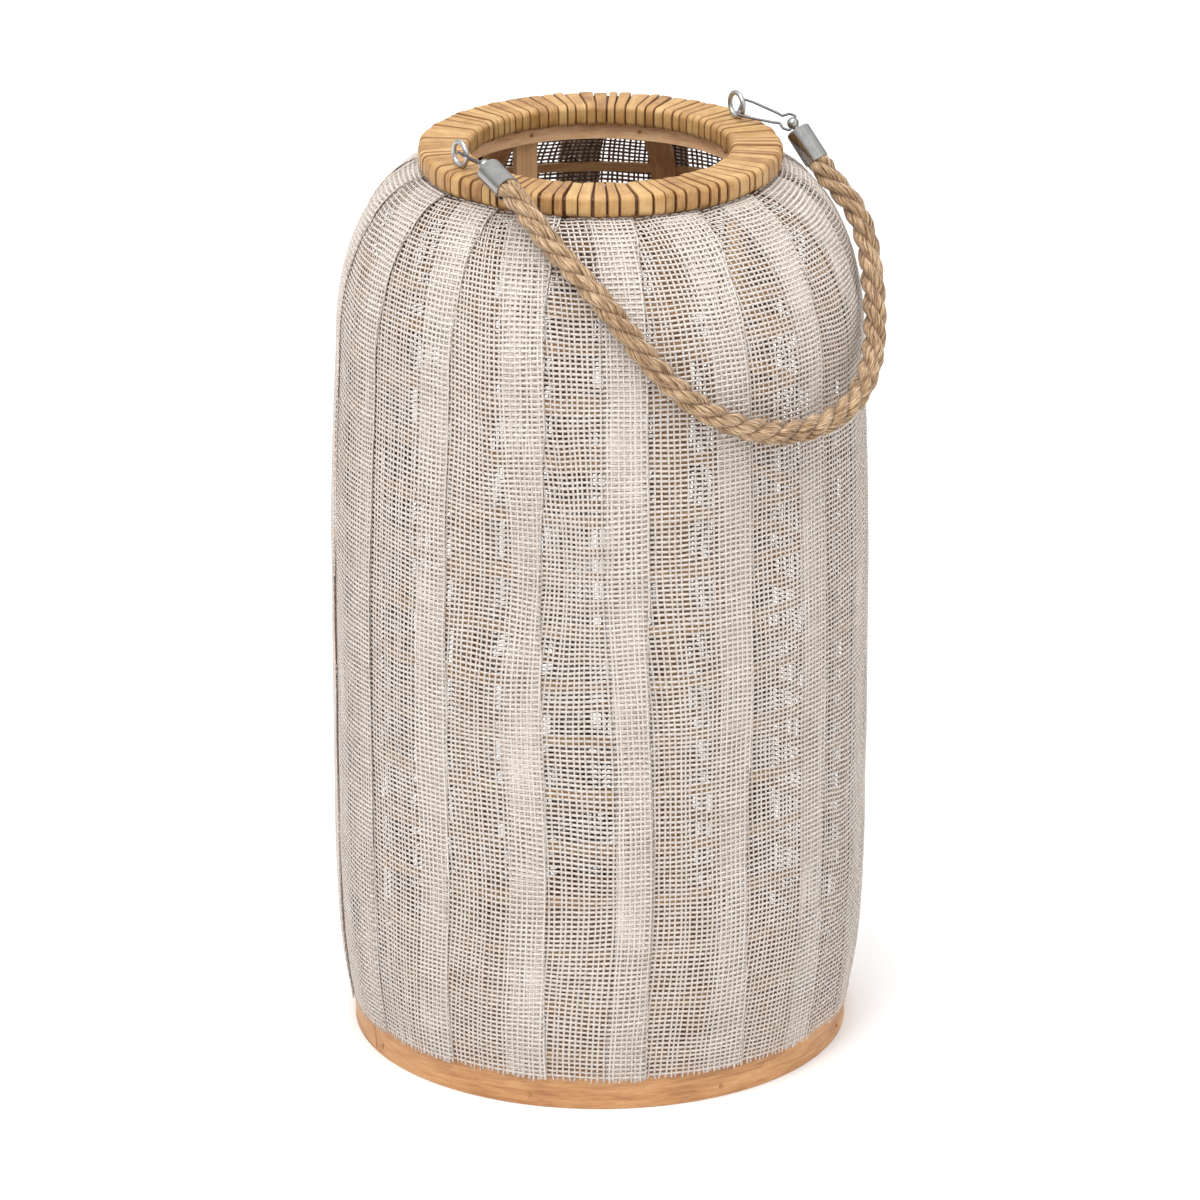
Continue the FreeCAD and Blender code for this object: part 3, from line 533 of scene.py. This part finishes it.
def weft_yarns(first, last):
    """The wefts of pleats first to last: they go round, one vertex at each warp and each fold."""
    chosen = (WARP_PLACES > first) & (WARP_PLACES < last)
    numbers = np.nonzero(chosen)[0]
    along = WEFT_ROWS[:, None]
    rows = np.arange(WEFT_COUNT)[:, None]
    crossings = np.broadcast_to(WARP_PLACES[numbers], (WEFT_COUNT, len(numbers)))
    signs = np.where((numbers[None, :] + rows) % 2 == 0, 1.0, -1.0)
    parts = [crossings]
    part_signs = [signs]
    part_folds = [np.zeros_like(crossings)]
    for pleat in range(first, last):
        for fold in fold_places(float(pleat), along):
            parts.append(fold)
            part_signs.append(np.zeros_like(fold))
            part_folds.append(np.ones_like(fold))
    for end in (first + CLOTH_END, last - CLOTH_END):
        parts.append(np.full_like(along, end))
        part_signs.append(np.zeros_like(along))
        part_folds.append(np.zeros_like(along))
    cloth = np.concatenate(parts, axis=1)
    order = np.argsort(cloth, axis=1)
    cloth = np.take_along_axis(cloth, order, axis=1)
    signs = np.take_along_axis(np.concatenate(part_signs, axis=1), order, axis=1)
    folds = np.take_along_axis(np.concatenate(part_folds, axis=1), order, axis=1)
    shares = np.broadcast_to(ROW_SHARES[:, None], cloth.shape)
    slipped = np.clip(along + sag(cloth, shares), 0.0, COVER_LENGTH)
    turn, lift = cloth_place(cloth, slipped)
    back, inner = layer_marks(cloth, slipped)
    place, around, upward, outward = surface(turn, slipped, lift - signs * CRIMP)
    up = np.where(folds[..., None] > 0.5, around, outward * back[..., None])
    slub = smooth_noise(25, cloth / PLEATS, shares, 400, WEFT_COUNT)
    half_width = 0.5 * WEFT_WIDTH * (1.0 + 0.22 * slub)
    corners = yarn_corners(upward, up, half_width, 0.5 * YARN_THICKNESS)
    shade = 0.5 + 0.3 * smooth_noise(26, cloth / PLEATS, shares, 90, WEFT_COUNT)
    return place, corners, shade, inner


def layer_marks(cloth, along):
    """Two marks for a place in the cloth: its direction round the cover (-1 on the folded-back
    layer) and whether it lies in the layer that the inside of the lantern sees."""
    pleat = np.floor(cloth)
    dense = pleat_state(pleat, along)[1]
    travel = (cloth - pleat) * (PLEAT_TURN + 2.0 * dense)
    back = (travel > dense) & (travel < 2.0 * dense)
    return np.where(back, -1.0, 1.0), np.where(travel > 2.0 * dense, 1.0, 0.0)


def warp_yarns(first, last):
    """The warps of pleats first to last: they climb the cover and fray past its lower edge."""
    numbers = np.nonzero((WARP_PLACES > first) & (WARP_PLACES < last))[0]
    rng = np.random.default_rng(40 + first)
    rows = np.arange(WEFT_COUNT)
    cloth = np.broadcast_to(WARP_PLACES[numbers][:, None], (len(numbers), WEFT_COUNT)).copy()
    shares = np.broadcast_to(ROW_SHARES[None, :], cloth.shape)
    wander = smooth_noise(27, cloth / PLEATS, shares, WARPS, 24)
    signs = np.where((numbers[:, None] + rows[None, :]) % 2 == 0, 1.0, -1.0)
    along = np.clip(WEFT_ROWS[None, :] + sag(cloth, shares), 0.0, COVER_LENGTH)
    turn, lift = cloth_place(cloth, along)
    turn = turn + wander * WARP_WANDER * MM / np.interp(along, PATH, RADII)
    low_along = -rng.uniform(*FRINGE, len(numbers)) * MM
    low_turn = turn[:, 0] + rng.uniform(-FRINGE_LEAN, FRINGE_LEAN, len(numbers)) * MM / RADII[0]
    low_lift = lift[:, 0] + rng.uniform(*FRINGE_LIFT, len(numbers)) * MM
    along = np.concatenate([low_along[:, None], along], axis=1)
    turn = np.concatenate([low_turn[:, None], turn], axis=1)
    lift = np.concatenate([low_lift[:, None], lift + signs * CRIMP], axis=1)
    place, around, upward, outward = surface(turn, along, lift)
    whole_cloth = np.broadcast_to(cloth[:, :1], along.shape)
    inner = layer_marks(whole_cloth, np.maximum(along, 0.0))[1]
    heights = np.clip(along / COVER_LENGTH, 0, 1)
    thickness = 1.0 + 0.25 * smooth_noise(28, whole_cloth / PLEATS, heights, WARPS, 60)
    corners = yarn_corners(-around, outward, 0.5 * WARP_WIDTH * thickness, 0.5 * YARN_THICKNESS)
    shade = 0.55 + 0.3 * smooth_noise(29, whole_cloth / PLEATS, heights, WARPS, 8)
    return place, corners, shade, inner


def strip_uv(count, steps, first_strip, strips):
    """Map places for tubes with four sides: each tube gets one strip of the map."""
    strip = (np.arange(count)[:, None, None, None] + first_strip) / strips
    step = np.arange(steps - 1)[None, :, None, None] / (steps - 1)
    side = np.arange(4)[None, None, :, None]
    corner_step = np.array([0.0, 0.0, 1.0, 1.0]) / (steps - 1)
    corner_side = np.array([0.0, 1.0, 1.0, 0.0])
    u = np.broadcast_to(step + corner_step, (count, steps - 1, 4, 4))
    v = np.broadcast_to(strip + (side + corner_side) / (4.0 * strips), (count, steps - 1, 4, 4))
    walls = np.stack([u, v], axis=-1).reshape(-1, 2)
    caps = np.zeros((count * 2 * 4, 2))
    caps[:, 1] = np.tile(np.repeat(np.arange(count) + first_strip, 4), 2) / strips
    return np.concatenate([walls, caps])


def build_gauze():
    """Weaves the cover, in pieces of two pleats each."""
    material = gauze_material()
    per_piece = PLEATS // PIECES
    made = []
    for number in range(PIECES):
        first = number * per_piece
        sets = [weft_yarns(first, first + per_piece), warp_yarns(first, first + per_piece)]
        strips = sum(len(yarns[0]) for yarns in sets)
        vertices, faces, shades, inners, maps = [], [], [], [], []
        start, first_strip = 0, 0
        for place, corners, shade, inner in sets:
            points, quads = tubes(place, corners)
            vertices.append(points)
            faces.append(quads + start)
            shades.append(np.repeat(shade.ravel(), 4))
            inners.append(np.repeat(inner.ravel(), 4))
            maps.append(strip_uv(place.shape[0], place.shape[1], first_strip, strips))
            start += len(points)
            first_strip += len(place)
        values = {"shade": np.concatenate(shades), "inner": np.concatenate(inners)}
        made.append(new_piece("gauze_%d" % (number + 1), np.concatenate(vertices), np.concatenate(faces),
                              material, "lantern", values, np.concatenate(maps)))
    for piece in made:
        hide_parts("gauze_cover")


# ---------------------------------------------------------------- rattan rim

STRIPS = 86
STRIP_WIDTHS = (0.78, 1.22)          # narrowest and widest strip, against the mean
STRIP_SLANT = 0.6 * MM               # how far a strip leans between the inner and outer edge
SLANT_WANDER = 1.4 * MM
SLANT_JITTER = 0.9 * MM
STRIP_LIFTS = (0.0, 0.6)             # millimetres off the rim
STRIP_TILTS = (-0.4, 0.4)            # millimetres from one edge of a strip to the other
LOOSENESS = (0.35, 2.3)              # of the gap beside a strip, against the usual gap
RIM_ROUNDING = 2.4 * MM
CORNER_STEPS = 5
FACE_STEPS = 6
STRIP_GAP_INNER = 0.20 * MM
STRIP_GAP_OUTER = 0.60 * MM
STRIP_CROWN = ((0.0, -0.95), (0.02, -0.22), (0.08, -0.05), (0.3, 0.02), (0.7, 0.02), (0.92, -0.05),
               (0.98, -0.22), (1.0, -0.95))   # share of the width, depth in millimetres
STRIP_BACK = -1.15 * MM


def rim_outline():
    """The rim's rounded section as points (radius, height) with outward normals."""
    places = vertex_arrays("rim_wrap")[0]
    radius = np.hypot(places[:, 0], places[:, 1])
    inner, outer = radius.min(), radius.max()
    low, high = places[:, 2].min(), places[:, 2].max()
    corners = ((outer, high, 0.0), (inner, high, 90.0), (inner, low, 180.0), (outer, low, 270.0))
    points, normals = [], []
    for corner_radius, corner_height, start in corners:
        inward = -1.0 if corner_radius == outer else 1.0
        upward = -1.0 if corner_height == high else 1.0
        for step in range(CORNER_STEPS + 1):
            turn = math.radians(start + 90.0 * step / CORNER_STEPS)
            normal = (math.cos(turn), math.sin(turn))
            points.append((corner_radius + RIM_ROUNDING * (inward + normal[0]),
                           corner_height + RIM_ROUNDING * (upward + normal[1])))
            normals.append(normal)
        if corner_height == high and corner_radius == outer:
            reach = outer - inner - 2.0 * RIM_ROUNDING
            for step in range(1, FACE_STEPS):
                points.append((outer - RIM_ROUNDING - reach * step / FACE_STEPS, high))
                normals.append((0.0, 1.0))
    return np.array(points), np.array(normals), inner, outer


def build_rim():
    """Winds the rattan strips round the rim, side by side."""
    outline, normals, inner, outer = rim_outline()
    rng = np.random.default_rng(51)
    widths = rng.uniform(*STRIP_WIDTHS, STRIPS)
    edges = np.concatenate([[0.0], np.cumsum(widths)]) * 2.0 * math.pi / widths.sum()
    spots = edges / (2.0 * math.pi)
    slants = STRIP_SLANT + SLANT_WANDER * smooth_noise(52, spots, spots * 0, 14, 1)
    slants = slants + SLANT_JITTER * smooth_noise(53, spots, spots * 0, STRIPS, 1)
    lifts = rng.uniform(*STRIP_LIFTS, STRIPS) * MM
    tilts = rng.uniform(*STRIP_TILTS, STRIPS) * MM
    looseness = rng.uniform(*LOOSENESS, STRIPS)
    reach = (outline[:, 0] - inner) / (outer - inner)
    gap = (STRIP_GAP_INNER + (STRIP_GAP_OUTER - STRIP_GAP_INNER) * reach) / outline[:, 0]
    mean_radius = 0.5 * (inner + outer)
    rings = []
    for number in range(STRIPS):
        left = edges[number] + slants[number] * reach / mean_radius
        right = edges[number + 1] + slants[number + 1] * reach / mean_radius - gap * looseness[number]
        section = []
        for share, depth in STRIP_CROWN:
            level = depth * MM + lifts[number] + tilts[number] * (share - 0.5)
            section.append((share, level))
        section.append((1.0, STRIP_BACK))
        section.append((0.0, STRIP_BACK))
        ring = []
        for share, level in section:
            turn = left + (right - left) * share
            radius = outline[:, 0] + normals[:, 0] * level
            height = outline[:, 1] + normals[:, 1] * level
            ring.append(np.stack([radius * np.cos(turn), radius * np.sin(turn), height], axis=-1))
        rings.append(np.stack(ring, axis=1))
    corners = np.stack(rings)
    vertices, faces = tubes(np.zeros(corners.shape[:2] + (3,)), corners, closed=True)
    shade = np.repeat(rng.uniform(0.2, 0.9, STRIPS), corners.shape[1] * corners.shape[2])
    # How near each point lies to its strip's edge; the rattan material paints shade on the edges from it.
    edge = [abs(2.0 * share - 1.0) for share, depth in STRIP_CROWN] + [1.0, 1.0]
    values = {"shade": shade, "edge": np.tile(edge, STRIPS * corners.shape[1])}
    piece = new_piece("rim_winding", vertices, faces, rattan_material(), "lantern", values)
    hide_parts("rim_wrap")


# ---------------------------------------------------------------- rope

ROPE_RADIUS = 4.7 * MM
STRAND_COUNT = 3
STRAND_RADIUS = 2.75 * MM
STRAND_OFFSET = 2.25 * MM
LAY = 31.0 * MM
YARN_TWIST = 1.8                     # turns of the yarns back against one turn of the strands
ROPE_STEP = 0.8 * MM
STRAND_SIDES = 28
YARNS_PER_STRAND = 9
FIBRE_STRETCH = 0.07                 # fibres are this much finer across than along
YARN_RIDGE = 0.035                   # of a strand's radius that its yarns stand out
LOOSE_RIDGE = 0.05                   # and that loose fibres do
STRAND_WOBBLE = 0.08
END_SWELL = 1.12                     # how full the strands are in the ferrules
GRIP_LOSS = 0.10                     # and how much less full they are in the open
HIDDEN_END = 12.0 * MM               # length of rope in each ferrule
GRIP_FADE = 6.0 * MM
FERRULE_BORE = 4.8 * MM
PIVOT_SHARE = 0.68                   # of the rope's depth: a point that sees all of the loop
ROPE_BINS = 90
ROPE_SMOOTHING = 3

FUZZ_COUNT = 1100
FUZZ_STEPS = 7
FUZZ_MARGIN = 24                     # rope steps without fibres at each end
FUZZ_ROOT = 4.55 * MM
FUZZ_RADIUS = 0.055 * MM
FUZZ_REACH = (1.5, 6.5)              # millimetres
FUZZ_STAND = (0.1, 0.42)             # of its reach that a fibre stands off the rope
FUZZ_CURL = (-0.5, 0.5)


def rope_centre():
    """Even points along the middle of the CAD rope, found from its skin and normals."""
    places, normals = vertex_arrays("rope")
    middle = places - normals * ROPE_RADIUS
    low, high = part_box("rope")
    pivot = Vector((0.5 * (low.x + high.x), low.y + PIVOT_SHARE * (high.y - low.y), 0.0))
    angle = np.arctan2(middle[:, 1] - pivot.y, middle[:, 0] - pivot.x)
    angle = np.mod(angle - math.pi / 2, 2 * math.pi)
    order = np.argsort(angle)
    middle, angle = middle[order], angle[order]
    bins = np.linspace(angle[0], angle[-1], ROPE_BINS)
    centres = []
    for start, end in zip(bins[:-1], bins[1:]):
        chosen = middle[(angle >= start) & (angle <= end)]
        if len(chosen) > 3:
            centres.append(chosen.mean(axis=0))
    centres = np.array(centres)
    for repeat in range(ROPE_SMOOTHING):
        centres[1:-1] = 0.25 * centres[:-2] + 0.5 * centres[1:-1] + 0.25 * centres[2:]
    length = np.concatenate([[0.0], np.cumsum(np.linalg.norm(np.diff(centres, axis=0), axis=1))])
    even = np.linspace(0.0, length[-1], int(length[-1] / ROPE_STEP))
    return np.stack([np.interp(even, length, centres[:, axis]) for axis in range(3)], axis=-1), even


def carried_frames(points):
    """Tangent and two cross directions along a curve, carried without twist."""
    tangent = unit(np.gradient(points, axis=0))
    side = np.empty_like(points)
    side[0] = unit(np.cross(tangent[0], (0.0, 0.0, 1.0)))
    for step in range(1, len(points)):
        flat = side[step - 1] - tangent[step] * (side[step - 1] @ tangent[step])
        side[step] = flat / np.linalg.norm(flat)
    return tangent, side, np.cross(tangent, side)


def build_rope(material):
    """Lays the rope's three strands round its middle line, and adds the stray fibres."""
    points, length = rope_centre()
    tangent, side, up = carried_frames(points)
    total = length[-1]
    grip = ease((length - HIDDEN_END) / GRIP_FADE) * ease((total - HIDDEN_END - length) / GRIP_FADE)
    squeeze = END_SWELL - GRIP_LOSS * grip
    limit = FERRULE_BORE + (2.0 * STRAND_RADIUS - FERRULE_BORE + STRAND_OFFSET) * grip
    around = np.arange(STRAND_SIDES) * 2.0 * math.pi / STRAND_SIDES
    vertices, faces, shades, fibres, yarn_places = [], [], [], [], []
    start = 0
    for strand in range(STRAND_COUNT):
        wobble = STRAND_WOBBLE * smooth_noise(62 + strand, length / total, length * 0, 24, 1)
        turn = -2.0 * math.pi * length / LAY + strand * 2.0 * math.pi / STRAND_COUNT + wobble
        spoke = side * np.cos(turn)[:, None] + up * np.sin(turn)[:, None]
        cross = np.cross(tangent, spoke)
        centre = points + spoke * (STRAND_OFFSET * squeeze)[:, None]
        twist = 2.0 * math.pi * YARN_TWIST * length[:, None] / LAY
        yarns = np.cos(YARNS_PER_STRAND * (around[None, :] - twist))
        twist_share = around[None, :] / (2 * math.pi) - YARN_TWIST * length[:, None] / LAY
        length_share = np.broadcast_to(length[:, None] / total, twist_share.shape)
        loose = smooth_noise(66 + strand, twist_share, length_share, 34, 40)
        radius = STRAND_RADIUS * squeeze[:, None] * (1.0 + YARN_RIDGE * yarns + LOOSE_RIDGE * loose)
        ring = (spoke[:, None, :] * np.cos(around)[None, :, None]
                + cross[:, None, :] * np.sin(around)[None, :, None]) * radius[..., None]
        reach = ring + (centre - points)[:, None, :]
        distance = np.linalg.norm(reach, axis=-1, keepdims=True)
        ring = ring + reach * (np.minimum(1.0, limit[:, None, None] / distance) - 1.0)
        points_here, quads = tubes(centre[None], ring[None])
        vertices.append(points_here)
        faces.append(quads + start)
        start += len(points_here)
        # How far out on its strand each point lies; the jute material paints shade in the grooves from it.
        outness = np.broadcast_to(0.5 + 0.5 * np.cos(around)[None, :], radius.shape)
        shades.append(outness.ravel())
        fibres.append((0.5 + 0.22 * yarns + 0.35 * loose).ravel())
        rolled = around[None, :] - twist + 2.0 * strand
        stretch = np.broadcast_to(length[:, None] * FIBRE_STRETCH, rolled.shape)
        yarn_place = [STRAND_RADIUS * np.cos(rolled), STRAND_RADIUS * np.sin(rolled), stretch]
        yarn_places.append(np.stack(yarn_place, axis=-1).reshape(-1, 3))
    values = {"shade": np.concatenate(shades), "fibre": np.concatenate(fibres),
              "yarn_place": np.concatenate(yarn_places)}
    piece = new_piece("rope_strands", np.concatenate(vertices), np.concatenate(faces), material,
                      "handle", values)
    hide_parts("rope")
    build_fuzz(points, tangent, side, up, material)


def build_fuzz(points, tangent, side, up, material):
    """Stray jute fibres that stand off the rope."""
    rng = np.random.default_rng(61)
    place = rng.integers(FUZZ_MARGIN, len(points) - FUZZ_MARGIN, FUZZ_COUNT)
    angle = rng.uniform(0, 2 * math.pi, FUZZ_COUNT)
    spoke = side[place] * np.cos(angle)[:, None] + up[place] * np.sin(angle)[:, None]
    wrap = np.cross(tangent[place], spoke)
    lean = rng.uniform(-1.0, 1.0, FUZZ_COUNT)[:, None]
    reach = rng.uniform(*FUZZ_REACH, FUZZ_COUNT)[:, None] * MM
    stand = rng.uniform(*FUZZ_STAND, FUZZ_COUNT)[:, None]
    curl = rng.uniform(*FUZZ_CURL, FUZZ_COUNT)[:, None]
    share = np.linspace(0.0, 1.0, FUZZ_STEPS)[None, :, None]
    start = points[place] + spoke * FUZZ_ROOT
    along = unit(tangent[place] * np.sign(lean) + wrap * 0.8)
    line = (start[:, None, :] + along[:, None, :] * (reach[:, None, :] * share)
            + spoke[:, None, :] * (reach * stand)[:, None, :] * share
            + wrap[:, None, :] * (reach * curl)[:, None, :] * share ** 2)
    thin = FUZZ_RADIUS * (1.0 - 0.7 * share)
    first_side = np.broadcast_to(spoke[:, None, :], line.shape)
    second_side = np.broadcast_to(np.cross(along, spoke)[:, None, :], line.shape)
    wide = first_side * thin
    thick = second_side * thin
    corners = np.stack([wide, thick, -wide, -thick], axis=2)
    vertices, faces = tubes(line, corners)
    values = {"shade": np.ones(len(vertices)), "fibre": np.full(len(vertices), 0.75),
              "yarn_place": vertices}
    piece = new_piece("rope_fuzz", vertices, faces, material, "handle", values)
    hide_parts("rope")


# ---------------------------------------------------------------- CAD parts that keep their shape

def names_with(start):
    return [name for name in NODES if name.startswith(start)]


AROUND = (9.0, 900.0, 300.0)         # grain that runs round the lantern
UPRIGHT = (220.0, 9.0, 300.0)        # and grain that runs up it
PLAIN_FIGURE = (3.0, 120.0, 60.0)
STRAIGHT_FIGURE = (30.0, 5.0, 60.0)

# Name, dark, middle and light colour, grain, figure, other settings, CAD nodes.
WOODS = (
    ("bent_wood", (150, 98, 56), (193, 140, 90), (212, 164, 114),
     AROUND, (2.2, 110.0, 40.0), {"turn": math.radians(7.0)}, ["base_band"]),
    ("plywood", (150, 108, 70), (182, 140, 98), (204, 164, 122),
     (6.0, 600.0, 240.0), (3.0, 60.0, 60.0), {"roughness": 0.7}, ["base_floor"]),
    # The posts' bamboo is a lighter copy, with painted light for the light that falls on them under the
    # opening.
    ("bamboo", (178, 130, 86), (218, 174, 126), (238, 204, 158),
     UPRIGHT, STRAIGHT_FIGURE, {}, names_with("post_")),
    ("bamboo_rib", (150, 102, 62), (190, 142, 96), (214, 172, 124),
     UPRIGHT, STRAIGHT_FIGURE, {}, names_with("rib_")),
    ("bamboo_hoop", (176, 132, 88), (206, 162, 114), (222, 184, 138),
     AROUND, PLAIN_FIGURE, {}, names_with("hoop_")),
    # The top hoop's bamboo is a much lighter copy, with painted light for the light that falls on it at
    # the opening.
    ("bamboo_top_hoop_painted_light", (206, 156, 112), (244, 198, 152), (252, 218, 178),
     AROUND, (3.0, 160.0, 60.0), {}, ["top_hoop"]),
    ("rim_core", (62, 36, 20), (84, 50, 28), (108, 68, 40),
     AROUND, PLAIN_FIGURE, {}, ["rim_core"]),
)

# Name, colour, roughness, scale of the brush marks, CAD nodes.
METALS = (
    ("brushed_steel", (168, 168, 166), 0.1, (60.0, 60.0, 900.0), ["ferrule_right", "ferrule_left"]),
    ("nail_steel", (200, 158, 118), 0.6, (300.0, 300.0, 300.0), ["band_nails", "top_hoop_nails"]),
    ("plated_wire", (190, 190, 191), 0.22, (400.0, 400.0, 400.0), ["screw_eye_right", "screw_eye_left"]),
    ("bail_wire", (104, 104, 108), 0.3, (400.0, 400.0, 400.0), ["bail_right", "bail_left"]),
)


def dress(material, names):
    for name in names:
        mesh = NODES[name].data
        mesh.materials.clear()
        mesh.materials.append(material)


def dress_parts():
    """Gives the CAD parts that keep their own shape their materials."""
    for name, dark, middle, light, grain, figure, settings, nodes in WOODS:
        wood = wood_material(name, srgb(*dark), srgb(*middle), srgb(*light), grain, figure, **settings)
        dress(wood, nodes)
    for name, colour, roughness, scratches, nodes in METALS:
        dress(metal_material(name, srgb(*colour), roughness, scratches), nodes)
    dress(glass_material(), ["glass_cylinder"])


# ---------------------------------------------------------------- stage, lights, camera

CAMERA_TURN = math.radians(-31.8)
CAMERA_RISE = math.radians(20.5)
CAMERA_DISTANCE = 3.11
CAMERA_TARGET = Vector((0.0, 0.0, 0.193))
CAMERA_LENS = 214.7

FLOOR_REACH = 30.0
FLOOR_STEPS = 24
FLOOR_DROP = 0.2 * MM                # keeps the floor just under the lantern
HORIZON_STRENGTH = 0.45
OVERHEAD_STRENGTH = 1.1
BACKDROP_STRENGTH = 1.0

# Name, turn, rise, distance, disk size, watts.
LAMPS = (
    ("key_light", CAMERA_TURN - math.radians(32.0), math.radians(56.0), 2.6, 1.6, 35.0),
    ("top_light", 0.0, math.radians(88.0), 2.4, 1.4, 18.0),
    ("fill_light", CAMERA_TURN + math.radians(55.0), math.radians(30.0), 3.0, 2.2, 10.0),
)


def direction(turn, rise):
    """Unit vector from the object towards a camera or lamp. Turn 0 is on the -Y side."""
    return Vector((math.sin(turn) * math.cos(rise), -math.cos(turn) * math.cos(rise), math.sin(rise)))


def add_floor():
    """A wide pale floor that takes the lantern's shadow."""
    line = np.linspace(-FLOOR_REACH, FLOOR_REACH, FLOOR_STEPS + 1)
    across, along = np.meshgrid(line, line)
    vertices = np.stack([across.ravel(), along.ravel(), np.full(across.size, -FLOOR_DROP)], axis=-1)
    index = np.arange(across.size).reshape(across.shape)
    faces = np.stack([index[:-1, :-1], index[:-1, 1:], index[1:, 1:], index[1:, :-1]], axis=-1)
    mesh = bpy.data.meshes.new("floor")
    mesh.from_pydata(vertices.tolist(), [], faces.reshape(-1, 4).tolist())
    shader = Shader("floor")
    shader.set(Base_Color=(0.93, 0.93, 0.93, 1.0), Roughness=0.9, Specular_IOR_Level=0.1)
    mesh.materials.append(shader.material)
    floor = bpy.data.objects.new("floor", mesh)
    bpy.context.scene.collection.objects.link(floor)


def add_lamp(name, turn, rise, distance, size, power):
    lamp = bpy.data.lights.new(name, "AREA")
    lamp.shape = "DISK"
    lamp.size = size
    lamp.energy = power
    piece = bpy.data.objects.new(name, lamp)
    bpy.context.scene.collection.objects.link(piece)
    towards = direction(turn, rise)
    piece.location = CAMERA_TARGET + towards * distance
    piece.rotation_mode = "QUATERNION"
    piece.rotation_quaternion = towards.to_track_quat("Z", "Y")


def add_world():
    """Surroundings that brighten from the horizon to overhead, with a white backdrop for the camera."""
    world = bpy.data.worlds.new("surroundings")
    bpy.context.scene.world = world
    world.use_nodes = True
    nodes, links = world.node_tree.nodes, world.node_tree.links
    place = nodes.new("ShaderNodeTexCoord")
    split = nodes.new("ShaderNodeSeparateXYZ")
    links.new(place.outputs["Generated"], split.inputs[0])
    rise = nodes.new("ShaderNodeMapRange")
    rise.inputs["From Min"].default_value = 0.05
    rise.inputs["From Max"].default_value = 0.6
    rise.inputs["To Min"].default_value = HORIZON_STRENGTH
    rise.inputs["To Max"].default_value = OVERHEAD_STRENGTH
    links.new(split.outputs["Z"], rise.inputs["Value"])
    path = nodes.new("ShaderNodeLightPath")
    mix = nodes.new("ShaderNodeMix")
    links.new(rise.outputs["Result"], mix.inputs["A"])
    mix.inputs["B"].default_value = BACKDROP_STRENGTH
    links.new(path.outputs["Is Camera Ray"], mix.inputs["Factor"])
    background = nodes["Background"]
    links.new(mix.outputs["Result"], background.inputs["Strength"])
    background.inputs["Color"].default_value = WHITE


def add_camera():
    camera = bpy.data.cameras.new("camera")
    camera.lens = CAMERA_LENS
    camera.sensor_width = 36.0
    camera.clip_start = 0.1
    camera.clip_end = 100.0
    piece = bpy.data.objects.new("camera", camera)
    bpy.context.scene.collection.objects.link(piece)
    back = direction(CAMERA_TURN, CAMERA_RISE)
    piece.location = CAMERA_TARGET + back * CAMERA_DISTANCE
    piece.rotation_mode = "QUATERNION"
    piece.rotation_quaternion = (-back).to_track_quat("-Z", "Y")
    bpy.context.scene.camera = piece


def add_stage():
    add_floor()
    add_world()
    for lamp in LAMPS:
        add_lamp(*lamp)
    add_camera()
    bpy.context.scene.view_settings.view_transform = "Standard"


build_gauze()
build_rim()
build_rope(jute_material())
dress_parts()
add_stage()
